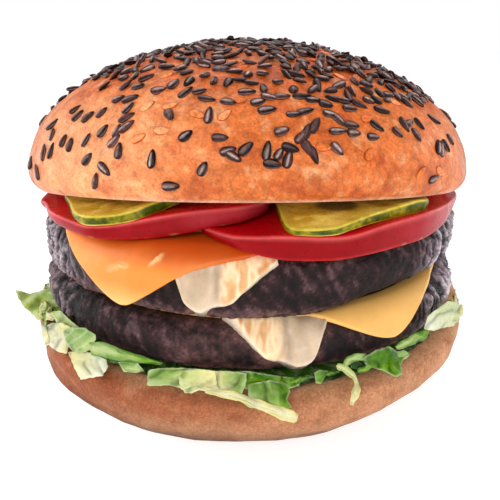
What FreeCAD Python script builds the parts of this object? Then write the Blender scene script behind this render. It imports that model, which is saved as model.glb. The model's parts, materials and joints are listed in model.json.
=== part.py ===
import FreeCAD, Part
import Sketcher
import math
import os

V = FreeCAD.Vector
ROT = FreeCAD.Rotation
PLACE = FreeCAD.Placement

os.makedirs("parts", exist_ok=True)
doc = FreeCAD.newDocument("burger_telephone")

# ---------------------------------------------------------------- sizes (mm)
TABLE = [
    ("bun_low_radius", 62.4, "bottom bun, widest radius"),
    ("bun_low_wide_z", 20.4, "height of the widest ring"),
    ("bun_low_foot_radius", 35.0, "flat underside radius"),
    ("bun_low_floor_z", 1.2, "underside above the table"),
    ("bun_low_lip_radius", 58.5, "top edge radius"),
    ("bun_low_top_z", 23.6, "top of the bottom bun"),
    ("bun_wall", 2.6, "moulded wall"),
    ("plate_flange_radius", 37.0, "base plate flange radius"),
    ("plate_flange_thick", 1.0, "base plate flange thickness"),
    ("ring_bore", 50.6, "bore of the stacked rings"),
    ("lettuce_base_z", 23.7, "underside of the lettuce ring"),
    ("lettuce_thick", 2.5, "lettuce ring thickness"),
    ("lettuce_mid_radius", 62.6, "mean radius of the frilled edge"),
    ("lettuce_wave", 3.0, "frill amplitude"),
    ("patty_low_radius", 58.0, "lower patty radius"),
    ("patty_low_bottom_z", 26.4, "lower patty underside"),
    ("patty_low_top_z", 37.6, "lower patty top"),
    ("patty_up_radius", 57.0, "upper patty radius"),
    ("patty_up_bottom_z", 39.2, "upper patty underside"),
    ("patty_up_top_z", 53.6, "upper patty top"),
    ("patty_round", 5.0, "patty edge rounding"),
    ("patty_wall", 2.4, "patty moulded wall"),
    ("cheese_gap", 0.15, "cheese stands this far off the patty"),
    ("cheese_low_thick", 1.4, "lower cheese thickness"),
    ("cheese_up_thick", 1.5, "upper cheese thickness"),
    ("cheese_half_side", 44.0, "half the side of a slice"),
    ("cheese_trim_radius", 53.0, "slices are trimmed inside this radius"),
    ("cheese_flap_half", 26.0, "half width of a draped corner at the rim"),
    ("chassis_radius", 50.3, "inner frame outside radius"),
    ("chassis_wall", 2.2, "inner frame wall"),
    ("chassis_floor_z", 24.2, "inner frame floor"),
    ("chassis_floor_thick", 2.2, "inner frame floor thickness"),
    ("chassis_top_z", 51.1, "inner frame top"),
    ("boss_ring", 29.5, "case screw circle"),
    ("boss_radius", 3.8, "case boss radius"),
    ("boss_foot_z", 6.0, "where the case bosses meet the base plate pads"),
    ("case_screw_radius", 1.45, "case screw shank"),
    ("case_screw_bore", 1.5, "case screw bore"),
    ("case_head_radius", 2.8, "case screw head"),
    ("foot_ring", 21.5, "foot position on X and Y"),
    ("foot_radius", 4.5, "rubber foot radius"),
    ("foot_height", 1.8, "rubber foot height"),
    ("ballast_radius", 24.4, "ballast ring outside radius"),
    ("ballast_bore", 12.2, "ballast ring bore"),
    ("ballast_thick", 9.0, "ballast ring thickness"),
    ("sounder_radius", 11.6, "ringer sounder radius"),
    ("sounder_height", 7.2, "ringer sounder height"),
    ("jack_width", 13.2, "line jack width"),
    ("jack_height", 12.0, "line jack height"),
    ("jack_depth", 16.0, "line jack depth"),
    ("jack_face_y", 57.0, "line jack mouth"),
    ("jack_base_z", 9.5, "line jack underside"),
    ("jack_mouth_width", 9.8, "plug way width"),
    ("jack_mouth_height", 6.8, "plug way height"),
    ("jack_mouth_depth", 12.0, "plug way depth"),
    ("jack_latch_width", 6.2, "latch slot width"),
    ("switch_x", 11.2, "slide switch position"),
    ("switch_y", 27.8, "slide switch position"),
    ("switch_length", 11.4, "slide switch body length"),
    ("switch_width", 5.6, "slide switch body width"),
    ("switch_height", 5.2, "slide switch body height"),
    ("slot_length", 7.6, "slot in the base plate"),
    ("slot_width", 3.4, "slot in the base plate"),
    ("knob_length", 3.4, "switch knob length"),
    ("knob_width", 2.6, "switch knob width"),
    ("board_half_x", 30.0, "main board half width"),
    ("board_front_y", -42.6, "main board front edge"),
    ("board_rear_y", 26.0, "main board rear edge"),
    ("board_z", 45.6, "main board underside"),
    ("board_thick", 1.6, "main board thickness"),
    ("post_x", 26.0, "board post position"),
    ("post_front_y", -37.0, "board post position"),
    ("post_rear_y", 22.0, "board post position"),
    ("mat_thick", 1.2, "rubber mat web"),
    ("mat_dome", 2.5, "rubber mat dome height above the board"),
    ("key_pitch_x", 15.0, "key columns"),
    ("key_pitch_y", 12.0, "key rows"),
    ("key_mid_y", -7.0, "middle of the key field"),
    ("key_width", 11.0, "key cap width"),
    ("key_depth", 8.4, "key cap depth"),
    ("key_bottom_z", 51.2, "key underside at rest"),
    ("key_top_z", 57.0, "key top at rest"),
    ("key_flange", 0.9, "retaining flange beyond the cap"),
    ("key_flange_z", 52.2, "retaining flange underside"),
    ("key_flange_thick", 1.1, "retaining flange thickness"),
    ("key_gap", 0.35, "gap round a key"),
    ("bezel_half_x", 25.0, "keypad bezel half width"),
    ("bezel_front_y", -44.2, "keypad bezel front edge"),
    ("bezel_rear_y", 18.5, "keypad bezel rear edge"),
    ("bezel_thick", 1.9, "keypad bezel thickness"),
    ("bezel_ledge", 2.0, "bezel lies this far over the opening"),
    ("mic_y", -36.2, "microphone position"),
    ("mic_radius", 4.7, "microphone capsule radius"),
    ("mic_height", 3.4, "microphone capsule height"),
    ("mic_boot_radius", 5.6, "microphone boot radius"),
    ("plunger_x", 35.0, "hook plunger position"),
    ("plunger_y", 14.0, "hook plunger position"),
    ("plunger_radius", 2.2, "hook plunger rod"),
    ("plunger_stem_radius", 1.1, "hook plunger stem"),
    ("plunger_top_z", 57.6, "hook plunger top with the lid shut"),
    ("plunger_flange_z", 47.0, "hook plunger collar"),
    ("plunger_flange_radius", 3.6, "hook plunger collar radius"),
    ("hook_switch_z", 34.0, "hook switch underside"),
    ("hook_switch_height", 7.0, "hook switch height"),
    ("spring_wire", 0.5, "hook spring wire radius"),
    ("spring_coil", 2.3, "hook spring coil radius"),
    ("spring_turns", 3.0, "hook spring turns"),
    ("hinge_y", 62.0, "hinge axis"),
    ("hinge_z", 53.8, "hinge axis"),
    ("hinge_radius", 3.6, "hinge barrel radius"),
    ("hinge_pin_radius", 1.5, "hinge pin"),
    ("hinge_lid_bore", 1.56, "bore of the lid knuckle"),
    ("hinge_lid_half", 7.6, "half length of the lid knuckle"),
    ("hinge_base_half", 18.0, "outer end of the base knuckles"),
    ("hinge_gap", 0.4, "gap between knuckles"),
    ("bun_top_radius", 60.0, "top bun, widest radius"),
    ("bun_top_wide_z", 60.7, "height of the widest ring's centre"),
    ("bun_top_rise", 32.2, "dome above the widest ring"),
    ("bun_top_drop", 6.5, "rim below the widest ring"),
    ("bun_top_rim_radius", 56.5, "rim radius"),
    ("bun_top_lean", 11.24, "the front of the bun is lifted by this angle"),
    ("lid_rear_z", 54.1, "underside of the lid's rear rim"),
    ("lid_front_slope", 0.1987, "rise of the front rim per mm"),
    ("liner_z", 57.9, "underside of the liner"),
    ("liner_thick", 2.0, "liner thickness"),
    ("liner_inset", 0.5, "liner stands inside the rim plane"),
    ("ear_y", 8.0, "earpiece position"),
    ("ear_radius", 17.0, "earpiece opening"),
    ("ear_grille_thick", 2.0, "earpiece grille thickness"),
    ("ear_hole_radius", 1.0, "sound hole radius"),
    ("speaker_radius", 15.0, "receiver radius"),
    ("speaker_height", 6.4, "receiver height"),
    ("gasket_thick", 0.8, "receiver gasket"),
    ("lid_screw_side_x", 38.0, "liner screw position"),
    ("lid_screw_side_y", 0.0, "liner screw position"),
    ("lid_screw_rear_x", 26.0, "liner screw position"),
    ("lid_screw_rear_y", 34.0, "liner screw position"),
    ("tomato_right_radius", 34.0, "right tomato slice"),
    ("tomato_right_thick", 4.6, "right tomato slice"),
    ("tomato_right_x", 21.0, "right tomato slice"),
    ("tomato_right_y", -24.4, "right tomato slice"),
    ("tomato_right_z", 55.6, "right tomato slice"),
    ("tomato_left_radius", 29.0, "left tomato slice"),
    ("tomato_left_thick", 3.4, "left tomato slice"),
    ("tomato_left_x", -28.0, "left tomato slice"),
    ("tomato_left_y", -28.0, "left tomato slice"),
    ("tomato_left_z", 56.0, "left tomato slice"),
    ("pickle_radius", 15.0, "pickle slice radius"),
    ("pickle_thick", 2.4, "pickle slice thickness"),
    ("pickle_left_x", -26.0, "left pickle slice"),
    ("pickle_left_y", -39.0, "left pickle slice"),
    ("pickle_right_x", 21.0, "right pickle slice"),
    ("pickle_right_y", -39.0, "right pickle slice"),
    ("bumper_x", 38.0, "lid bumper position"),
    ("bumper_y", -10.0, "lid bumper position"),
    ("bumper_radius", 2.6, "lid bumper radius"),
]

dims = doc.addObject("Spreadsheet::Sheet", "dims")
for row, (alias, value, note) in enumerate(TABLE, start=1):
    dims.set("A%d" % row, note)
    dims.set("B%d" % row, "%s" % value)
    dims.setAlias("B%d" % row, alias)
doc.recompute()


class Q:
    """A size: its value now and the sheet expression it is bound to."""

    def __init__(self, value, text):
        self.v = float(value)
        self.t = text

    @staticmethod
    def of(other):
        if isinstance(other, Q):
            return other
        return Q(other, "%.6g" % other if other >= 0 else "(%.6g)" % other)

    def __add__(self, o):
        o = Q.of(o)
        return Q(self.v + o.v, "(%s + %s)" % (self.t, o.t))

    def __radd__(self, o):
        return Q.of(o) + self

    def __sub__(self, o):
        o = Q.of(o)
        return Q(self.v - o.v, "(%s - %s)" % (self.t, o.t))

    def __rsub__(self, o):
        return Q.of(o) - self

    def __mul__(self, o):
        o = Q.of(o)
        return Q(self.v * o.v, "(%s * %s)" % (self.t, o.t))

    def __rmul__(self, o):
        return Q.of(o) * self

    def __truediv__(self, o):
        o = Q.of(o)
        return Q(self.v / o.v, "(%s / %s)" % (self.t, o.t))

    def __neg__(self):
        return Q(-self.v, "(0 - %s)" % self.t)


class Sizes:
    pass


d = Sizes()
for alias, value, note in TABLE:
    setattr(d, alias, Q(value, "dims." + alias))

NODES = []
serial = [0]


def fresh(stem):
    serial[0] += 1
    return "%s_%03d" % (stem, serial[0])


def put(obj, prop, size):
    size = Q.of(size)
    if "dims." in size.t:
        obj.setExpression(prop, size.t)
    elif prop.startswith("Placement.Base."):
        base = obj.Placement.Base
        setattr(base, prop[-1], size.v)
        obj.Placement = PLACE(base, obj.Placement.Rotation)
    else:
        setattr(obj, prop, size.v)


def at(obj, x, y, z):
    put(obj, "Placement.Base.x", x)
    put(obj, "Placement.Base.y", y)
    put(obj, "Placement.Base.z", z)
    return obj


def box(lx, ly, lz, x, y, z):
    """Box with its low corner at x, y, z."""
    o = doc.addObject("Part::Box", fresh("box"))
    put(o, "Length", lx)
    put(o, "Width", ly)
    put(o, "Height", lz)
    return at(o, x, y, z)


def cbox(lx, ly, lz, cx, cy, z):
    """Box centred on cx, cy, standing on z."""
    return box(lx, ly, lz, cx - Q.of(lx) / 2, cy - Q.of(ly) / 2, z)


def cyl(r, h, x, y, z):
    o = doc.addObject("Part::Cylinder", fresh("cyl"))
    put(o, "Radius", r)
    put(o, "Height", h)
    return at(o, x, y, z)


def cyl_x(r, h, x, y, z):
    o = doc.addObject("Part::Cylinder", fresh("cylx"))
    o.Placement = PLACE(V(0, 0, 0), ROT(V(0, 1, 0), 90))
    put(o, "Radius", r)
    put(o, "Height", h)
    return at(o, x, y, z)


def cyl_y(r, h, x, y, z):
    o = doc.addObject("Part::Cylinder", fresh("cyly"))
    o.Placement = PLACE(V(0, 0, 0), ROT(V(1, 0, 0), -90))
    put(o, "Radius", r)
    put(o, "Height", h)
    return at(o, x, y, z)


def fuse(*objs):
    o = doc.addObject("Part::MultiFuse", fresh("fuse"))
    o.Shapes = list(objs)
    o.Refine = True
    return o


def group(*objs):
    o = doc.addObject("Part::Compound", fresh("group"))
    o.Links = list(objs)
    return o


def common(*objs):
    o = doc.addObject("Part::MultiCommon", fresh("common"))
    o.Shapes = list(objs)
    return o


def cut(base, *tools):
    o = doc.addObject("Part::Cut", fresh("cut"))
    o.Base = base
    o.Tool = tools[0] if len(tools) == 1 else fuse(*tools)
    return o


def node(label, obj):
    obj.Label = label
    NODES.append((label, obj))
    return obj


def plane_of(body, role):
    return [f for f in body.Origin.OriginFeatures if f.Role == role][0]


def sketch(body, role, pts, lift=None):
    """Closed outline through pts, each corner tied to the sheet."""
    sk = body.newObject("Sketcher::SketchObject", fresh("sketch"))
    sk.AttachmentSupport = [(plane_of(body, role), "")]
    sk.MapMode = "FlatFace"
    if lift is not None:
        sk.AttachmentOffset = PLACE(V(0, 0, Q.of(lift).v), ROT())
        put(sk, "AttachmentOffset.Base.z", lift)
    pts = [(Q.of(a), Q.of(b)) for a, b in pts]
    n = len(pts)
    for i in range(n):
        a, b = pts[i], pts[(i + 1) % n]
        sk.addGeometry(Part.LineSegment(V(a[0].v, a[1].v, 0), V(b[0].v, b[1].v, 0)), False)
    for i in range(n):
        sk.addConstraint(Sketcher.Constraint("Coincident", i, 2, (i + 1) % n, 1))
    for i, pair in enumerate(pts):
        for kind, size, axis in (("DistanceX", pair[0], -2), ("DistanceY", pair[1], -1)):
            if abs(size.v) < 1e-9:
                sk.addConstraint(Sketcher.Constraint("PointOnObject", i, 1, axis))
                continue
            if size.v > 0:
                k = sk.addConstraint(Sketcher.Constraint(kind, -1, 1, i, 1, size.v))
                text = size.t
            else:
                k = sk.addConstraint(Sketcher.Constraint(kind, i, 1, -1, 1, -size.v))
                text = (-size).t
            if "dims." in text:
                sk.setExpression("Constraints[%d]" % k, text)
    return sk


def revolve(pts):
    """Body turned about its Z axis from an outline of (radius, height) corners."""
    body = doc.addObject("PartDesign::Body", fresh("turned"))
    sk = sketch(body, "XZ_Plane", pts)
    rev = body.newObject("PartDesign::Revolution", fresh("revolution"))
    rev.Profile = sk
    rev.ReferenceAxis = (sk, ["V_Axis"])
    rev.Angle = 360
    sk.Visibility = False
    return body


def pad(role, pts, length, both=False, lift=None):
    body = doc.addObject("PartDesign::Body", fresh("padded"))
    sk = sketch(body, role, pts, lift)
    p = body.newObject("PartDesign::Pad", fresh("pad"))
    p.Profile = sk
    put(p, "Length", length)
    if both:
        p.Midplane = True
    sk.Visibility = False
    return body


def arc(cr, cz, r, t0, t1, n):
    out = []
    for i in range(n + 1):
        t = math.radians(t0 + (t1 - t0) * i / n)
        out.append((cr + r * math.cos(t), cz + r * math.sin(t)))
    return out


def rounded_edges(obj, radius, pick):
    """Fillet the edges of obj that pick chooses."""
    doc.recompute()
    o = doc.addObject("Part::Fillet", fresh("fillet"))
    o.Base = obj
    o.Edges = [(i, radius, radius) for i, e in enumerate(obj.Shape.Edges, start=1) if pick(e)]
    return o


def upright(e):
    a, b = e.Vertexes[0].Point, e.Vertexes[-1].Point
    return abs(a.x - b.x) < 1e-6 and abs(a.y - b.y) < 1e-6 and abs(a.z - b.z) > 1e-6


# ------------------------------------------------------------- bottom bun
def low_wall(inset, n=9):
    """Lower side of the bun from the flat underside to the widest ring."""
    cr = d.bun_low_foot_radius
    a = d.bun_low_radius - cr - inset
    b = d.bun_low_wide_z - d.bun_low_floor_z - inset
    out = []
    for i in range(n + 1):
        t = math.radians(-90 + 90.0 * i / n)
        out.append((cr + a * math.cos(t), d.bun_low_wide_z + b * math.sin(t)))
    return out


step_z = d.bun_low_floor_z + d.plate_flange_thick
outer = [
    (d.bun_low_foot_radius + 0.05, step_z + 0.05),
    (d.plate_flange_radius + 0.1, step_z + 0.05),
    (d.plate_flange_radius + 0.1, d.bun_low_floor_z + 0.13),
] + low_wall(0)[1:]
outer += [
    (d.bun_low_radius - 0.6, d.bun_low_wide_z + 1.3),
    (d.bun_low_radius - 2.0, d.bun_low_top_z - 0.8),
    (d.bun_low_lip_radius, d.bun_low_top_z),
    (d.ring_bore, d.bun_low_top_z),
    (d.ring_bore, d.bun_low_top_z - 2.2),
    (d.bun_low_radius - d.bun_wall - 1.2, d.bun_low_top_z - 2.2),
]
inner = low_wall(d.bun_wall)
inner.reverse()
floor_in = d.bun_low_floor_z + d.bun_wall
bun_solid = revolve(outer + inner[:-1] + [(d.bun_low_foot_radius + 0.05, floor_in)])

BOSSES = [(d.boss_ring, Q.of(0)), (-d.boss_ring, Q.of(0)), (Q.of(0), d.boss_ring), (Q.of(0), -d.boss_ring)]
FEET = [(sx * d.foot_ring, sy * d.foot_ring) for sx in (1, -1) for sy in (1, -1)]
SWITCHES = [-d.switch_x, d.switch_x]
pads = [cyl(5.0, d.boss_foot_z - floor_in + 0.6, x, y, floor_in - 0.6) for x, y in BOSSES]
jack_cradle = cbox(d.jack_width + 3.2, d.jack_depth - 5.0, d.jack_base_z - floor_in, 0, d.jack_face_y - d.jack_depth + 5.5, floor_in - 0.2)
cradle_in = common(jack_cradle, revolve([(Q.of(0), floor_in - 0.4)] + low_wall(d.bun_wall - 0.4) + [(Q.of(0), d.bun_low_wide_z)]))
jack_way = cbox(d.jack_width + 0.5, 24, d.jack_height + 0.5, 0, 61, d.jack_base_z - 0.05)
node("bottom_bun", cut(fuse(bun_solid, cradle_in), jack_way))

plate_solid = revolve([
    (Q.of(0), d.bun_low_floor_z),
    (d.plate_flange_radius, d.bun_low_floor_z),
    (d.plate_flange_radius, step_z),
    (d.bun_low_foot_radius, step_z),
    (d.bun_low_foot_radius, floor_in),
    (Q.of(0), floor_in),
])
tools = []
for x, y in BOSSES:
    tools.append(cyl(3.2, 3.4, x, y, d.bun_low_floor_z - 0.2))
    tools.append(cyl(1.7, 8, x, y, d.bun_low_floor_z))
for x, y in FEET:
    tools.append(cyl(d.foot_radius, d.foot_height, x, y, 0))
for x in SWITCHES:
    tools.append(cbox(d.slot_length, d.slot_width, 6, x, d.switch_y, 0))
for k in range(7):
    t = math.radians(60 * k)
    rr = 0.0 if k == 6 else 5.2
    tools.append(cyl(1.2, 8, rr * math.cos(t), rr * math.sin(t), 0))
node("base_plate", cut(fuse(plate_solid, *pads), *tools))

feet = [cyl(d.foot_radius, d.foot_height, x, y, 0) for x, y in FEET]
node("rubber_feet", group(*feet))

screws = []
for x, y in BOSSES:
    head = cyl(d.case_head_radius, 1.9, x, y, d.bun_low_floor_z + 1.3)
    slot = cbox(4.0, 0.8, 0.9, x, y, d.bun_low_floor_z + 1.2)
    shank = cyl(d.case_screw_radius, 13.0, x, y, d.bun_low_floor_z + 3.0)
    screws.append(cut(fuse(head, shank), slot))
node("case_screws", group(*screws))

node("ballast_ring", cut(cyl(d.ballast_radius, d.ballast_thick, 0, 0, floor_in), cyl(d.ballast_bore, 20, 0, 0, 0)))
sounder = cut(
    cyl(d.sounder_radius, d.sounder_height, 0, 0, floor_in),
    cyl(d.sounder_radius - 1.2, d.sounder_height - 1.4, 0, 0, floor_in - 0.01),
    cyl(1.5, 20, 0, 0, 0),
)
node("ringer_sounder", sounder)

for name, x in (("ringer_switch", -d.switch_x), ("tone_switch", d.switch_x)):
    shell = cbox(d.switch_length, d.switch_width, d.switch_height, x, d.switch_y, floor_in)
    way = cbox(d.slot_length + 0.6, d.slot_width, 3.6, x, d.switch_y, floor_in - 0.01)
    node(name + "_body", cut(shell, way))
    grip = cbox(d.knob_length, d.knob_width, 4.6, x - 1.5, d.switch_y, 0.5)
    ribs = [cbox(0.5, d.knob_width + 1, 0.35, x - 1.5 + k, d.switch_y, 0.4) for k in (-1.1, 0, 1.1)]
    node(name + "_knob", cut(grip, *ribs))

# ------------------------------------------------------------- line jack
jack = box(d.jack_width, d.jack_depth, d.jack_height, -d.jack_width / 2, d.jack_face_y - d.jack_depth, d.jack_base_z)
mouth_z = d.jack_base_z + 3.2
mouth = cbox(d.jack_mouth_width, d.jack_mouth_depth + 1, d.jack_mouth_height, 0, d.jack_face_y - d.jack_mouth_depth / 2 + 0.5, mouth_z)
latch = cbox(d.jack_latch_width, d.jack_mouth_depth + 1, 3.0, 0, d.jack_face_y - d.jack_mouth_depth / 2 + 0.5, mouth_z - 2.2)
grooves = [cbox(0.7, d.jack_mouth_depth - 1, 1.2, -1.53 + 1.02 * k, d.jack_face_y - d.jack_mouth_depth / 2 - 0.5, mouth_z + d.jack_mouth_height - 0.4) for k in range(4)]
node("line_jack", cut(jack, mouth, latch, *grooves))
wires = []
for k in range(4):
    wires.append(cyl_y(0.22, d.jack_mouth_depth - 2.4, -1.53 + 1.02 * k, d.jack_face_y - d.jack_mouth_depth + 0.3, mouth_z + d.jack_mouth_height + 0.45))
node("jack_contacts", group(*wires))

# ------------------------------------------------------------- inner frame
ch_in = d.chassis_radius - d.chassis_wall
frame_tube = revolve([
    (Q.of(0), d.chassis_floor_z),
    (d.chassis_radius, d.chassis_floor_z),
    (d.chassis_radius, d.chassis_top_z),
    (ch_in, d.chassis_top_z),
    (ch_in, d.chassis_floor_z + d.chassis_floor_thick),
    (Q.of(0), d.chassis_floor_z + d.chassis_floor_thick),
])
posts = [(sx * d.post_x, y) for sx in (1, -1) for y in (d.post_front_y, d.post_rear_y)]
ch_floor = d.chassis_floor_z + 1.0
members = [cyl(d.boss_radius, ch_floor - d.boss_foot_z, x, y, d.boss_foot_z) for x, y in BOSSES]
members += [cyl(3.2, d.board_z - ch_floor, x, y, ch_floor) for x, y in posts]
members.append(cyl(5.4, d.hook_switch_z - ch_floor, d.plunger_x, d.plunger_y, ch_floor))
cuts = [cyl(d.case_screw_bore, 20, x, y, 0) for x, y in BOSSES]
cuts += [cyl(1.25, 10, x, y, d.board_z - 9) for x, y in posts]
cuts.append(cbox(10, 8, 10, 14, 34, d.chassis_floor_z - 3))
for x in (-12.5, 12.5):
    cuts.append(cyl_y(1.5, 12, x, 40, d.hinge_z - 8.3))
node("inner_frame", cut(fuse(frame_tube, *members), *cuts))

# ------------------------------------------------------------- lettuce ring
count = 96
crest = []
for i in range(count):
    t = 2 * math.pi * i / count
    r = dims.lettuce_mid_radius + dims.lettuce_wave * math.cos(8 * t)
    crest.append(V(r * math.cos(t), r * math.sin(t), dims.lettuce_base_z))
curve = Part.BSplineCurve()
curve.interpolate(crest, PeriodicFlag=True)
frill = Part.Face(Part.Wire(curve.toShape())).extrude(V(0, 0, dims.lettuce_thick))
frill = frill.cut(Part.makeCylinder(dims.ring_bore, 20, V(0, 0, dims.lettuce_base_z - 5)))
lettuce = doc.addObject("Part::Feature", "lettuce_shape")
lettuce.Shape = frill
node("lettuce_frill", lettuce)


# ------------------------------------------------------------- patties
def patty_side(R, z0, z1, inset):
    r = d.patty_round - inset
    c = R - d.patty_round
    return arc(c, z0 + d.patty_round, r, -90, 0, 5) + arc(c, z1 - d.patty_round, r, 0, 90, 5)


low_out = patty_side(d.patty_low_radius, d.patty_low_bottom_z, d.patty_low_top_z, 0)
low_in = patty_side(d.patty_low_radius, d.patty_low_bottom_z, d.patty_low_top_z, d.patty_wall)
low_in.reverse()
node("lower_patty", revolve(
    [(d.ring_bore, d.patty_low_bottom_z)] + low_out + [(d.ring_bore, d.patty_low_top_z), (d.ring_bore, d.patty_low_top_z - d.patty_wall)]
    + low_in + [(d.ring_bore, d.patty_low_bottom_z + d.patty_wall)]
))

up_out = patty_side(d.patty_up_radius, d.patty_up_bottom_z, d.patty_up_top_z, 0)
up_in = patty_side(d.patty_up_radius, d.patty_up_bottom_z, d.patty_up_top_z, d.patty_wall)
up_in.reverse()
up_solid = revolve(
    [(d.ring_bore, d.patty_up_bottom_z)] + up_out + [(Q.of(0), d.patty_up_top_z), (Q.of(0), d.patty_up_top_z - d.patty_wall)]
    + up_in + [(d.ring_bore, d.patty_up_bottom_z + d.patty_wall)]
)
win_x = 2 * (d.bezel_half_x - d.bezel_ledge)
win_y0 = d.bezel_front_y + d.bezel_ledge
win_y1 = d.bezel_rear_y - d.bezel_ledge
window = box(win_x, win_y1 - win_y0, 20, -win_x / 2, win_y0, d.patty_up_top_z - 10)
plunger_way = cyl(d.plunger_radius + 0.3, 30, d.plunger_x, d.plunger_y, d.patty_up_top_z - 10)
hinge_notch = box(2 * d.hinge_base_half + 0.6, 30, 12.6, -d.hinge_base_half - 0.3, 44, d.hinge_z - 12.3)
hinge_round = cyl_x(d.hinge_radius + 0.6, 2 * d.hinge_base_half + 2, -d.hinge_base_half - 1, d.hinge_y, d.hinge_z)
node("upper_patty", cut(up_solid, window, plunger_way, hinge_notch, hinge_round))


# ------------------------------------------------------------- draped slices
def umbrella(R, z_top, thick, gap, low):
    """Sheet lying on a patty and following its side down to low."""
    c, rc = R - d.patty_round, d.patty_round
    cz = z_top - rc
    a = arc(c, cz, rc + gap + thick, 90, 0, 6)
    b = arc(c, cz, rc + gap, 0, 90, 6)
    return revolve(
        [(Q.of(0), z_top + gap), (Q.of(0), z_top + gap + thick)] + a
        + [(R + gap + thick, low), (R + gap, low)] + b
    )


def corner(angle, z_top, tip, half):
    """Pointed flap, seen square on from the direction turned by angle."""
    p = pad("XZ_Plane", [(-half, z_top), (half, z_top), (half * 0.14, tip + 1.0), (half * 0.05, tip), (-half * 0.05, tip), (-half * 0.14, tip + 1.0)], 90)
    p.Placement = PLACE(V(0, 0, 0), ROT(V(0, 0, 1), angle))
    return p


def slice_plan(angle, shift, z):
    a = d.cheese_half_side
    t = math.radians(-90 + angle)
    o = box(2 * a, 2 * a, 6, 0, 0, z)
    o.Placement = PLACE(V(0, 0, 0), ROT(V(0, 0, 1), angle - 135))
    cx, cy = shift * math.cos(t), shift * math.sin(t)
    u = math.radians(angle - 135)
    at(o, cx - a * (math.cos(u) - math.sin(u)), cy - a * (math.sin(u) + math.cos(u)), z)
    return common(o, cyl(d.cheese_trim_radius, 6, 0, 0, z))


up_gap = Q.of(0.1)
up_sheet = umbrella(d.patty_up_radius, d.patty_up_top_z, d.cheese_up_thick, up_gap, 34.0)
up_plan = slice_plan(-27, 10, d.patty_up_top_z - 1)
up_flap = corner(-27, d.patty_up_top_z + 4, 38.2, d.cheese_flap_half)
bezel_hole = box(2 * d.bezel_half_x + 0.4, d.bezel_rear_y - d.bezel_front_y + 0.4, 20, -d.bezel_half_x - 0.2, d.bezel_front_y - 0.2, d.patty_up_top_z - 8)
plunger_hole = cyl(d.plunger_radius + 0.6, 20, d.plunger_x, d.plunger_y, d.patty_up_top_z - 8)
node("upper_cheese", cut(common(up_sheet, fuse(up_plan, up_flap)), bezel_hole, plunger_hole))

low_gap = Q.of(0.1)
low_sheet = umbrella(d.patty_low_radius, d.patty_low_top_z, d.cheese_low_thick, low_gap, 26.6)
low_plan = cyl(d.cheese_trim_radius, 6, 0, 0, d.patty_low_top_z - 1)
flaps = [corner(36, d.patty_low_top_z + 4, 27.4, d.cheese_flap_half), corner(126, d.patty_low_top_z + 4, 30.0, 21.0), corner(216, d.patty_low_top_z + 4, 29.0, 22.0)]
low_centre = cyl(d.ring_bore, 20, 0, 0, d.patty_low_top_z - 8)
node("lower_cheese", cut(common(low_sheet, fuse(low_plan, *flaps)), low_centre))


# ------------------------------------------------------------- sauce runs
def sauce(R, z_top, thick, outline, away):
    c, rc = R - d.patty_round, d.patty_round
    cz = z_top - rc
    band = revolve(
        arc(c, cz, rc + 0.06 + thick, 62, 0, 5) + [(R + 0.06 + thick, 26.0), (R + 0.06, 26.0)] + arc(c, cz, rc + 0.06, 0, 62, 5)
    )
    return cut(common(band, pad("XZ_Plane", outline, 90)), away)


up_run = [(-17.0, 57.0), (7.5, 57.0), (5.5, 51.5), (2.0, 48.0), (-2.0, 44.6), (-5.5, 42.4), (-9.0, 41.6), (-11.5, 40.2), (-14.0, 41.4), (-15.6, 45.0), (-16.6, 50.0)]
node("upper_sauce", sauce(d.patty_up_radius, d.patty_up_top_z, 1.1, up_run, NODES[-2][1]))
low_run = [(-7.0, 41.0), (15.0, 41.0), (15.4, 37.0), (14.0, 33.0), (11.8, 29.4), (9.4, 28.6), (6.6, 29.8), (3.2, 29.8), (1.4, 31.2), (-1.4, 33.6), (-5.0, 36.4)]
node("lower_sauce", sauce(d.patty_low_radius, d.patty_low_top_z, 1.1, low_run, NODES[-2][1]))

# ------------------------------------------------------------- keypad
bez_w, bez_l = 2 * d.bezel_half_x, d.bezel_rear_y - d.bezel_front_y
bezel_z = d.patty_up_top_z + 0.1
bezel_plate = rounded_edges(box(bez_w, bez_l, d.bezel_thick, -d.bezel_half_x, d.bezel_front_y, bezel_z), 4.0, upright)
KEYS = []
names = ["key_1", "key_2", "key_3", "key_4", "key_5", "key_6", "key_7", "key_8", "key_9", "key_star", "key_0", "key_hash"]
for i, name in enumerate(names):
    col, row_ = i % 3, i // 3
    KEYS.append((name, (col - 1) * d.key_pitch_x, d.key_mid_y + (1.5 - row_) * d.key_pitch_y))
holes = []
for name, x, y in KEYS:
    holes.append(cbox(d.key_width + 2 * d.key_gap, d.key_depth + 2 * d.key_gap, 8, x, y, bezel_z - 2))
for x, y in ((0, 0), (2.6, 0), (-2.6, 0), (1.3, 2.0), (-1.3, 2.0), (1.3, -2.0), (-1.3, -2.0)):
    holes.append(cyl(0.65, 8, x, d.mic_y + y, bezel_z - 2))
snaps = []
for sx in (1, -1):
    for y in (-35.0, 0.0):
        leg = cbox(1.2, 5.0, 3.4, sx * (d.bezel_half_x - d.bezel_ledge - 0.8), y, bezel_z - 3.2)
        snaps.append(leg)
node("keypad_bezel", cut(fuse(bezel_plate, *snaps), *holes))


def top_edge(z):
    def pick(e):
        return all(abs(v.Point.z - z) < 1e-6 for v in e.Vertexes)
    return pick


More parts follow.
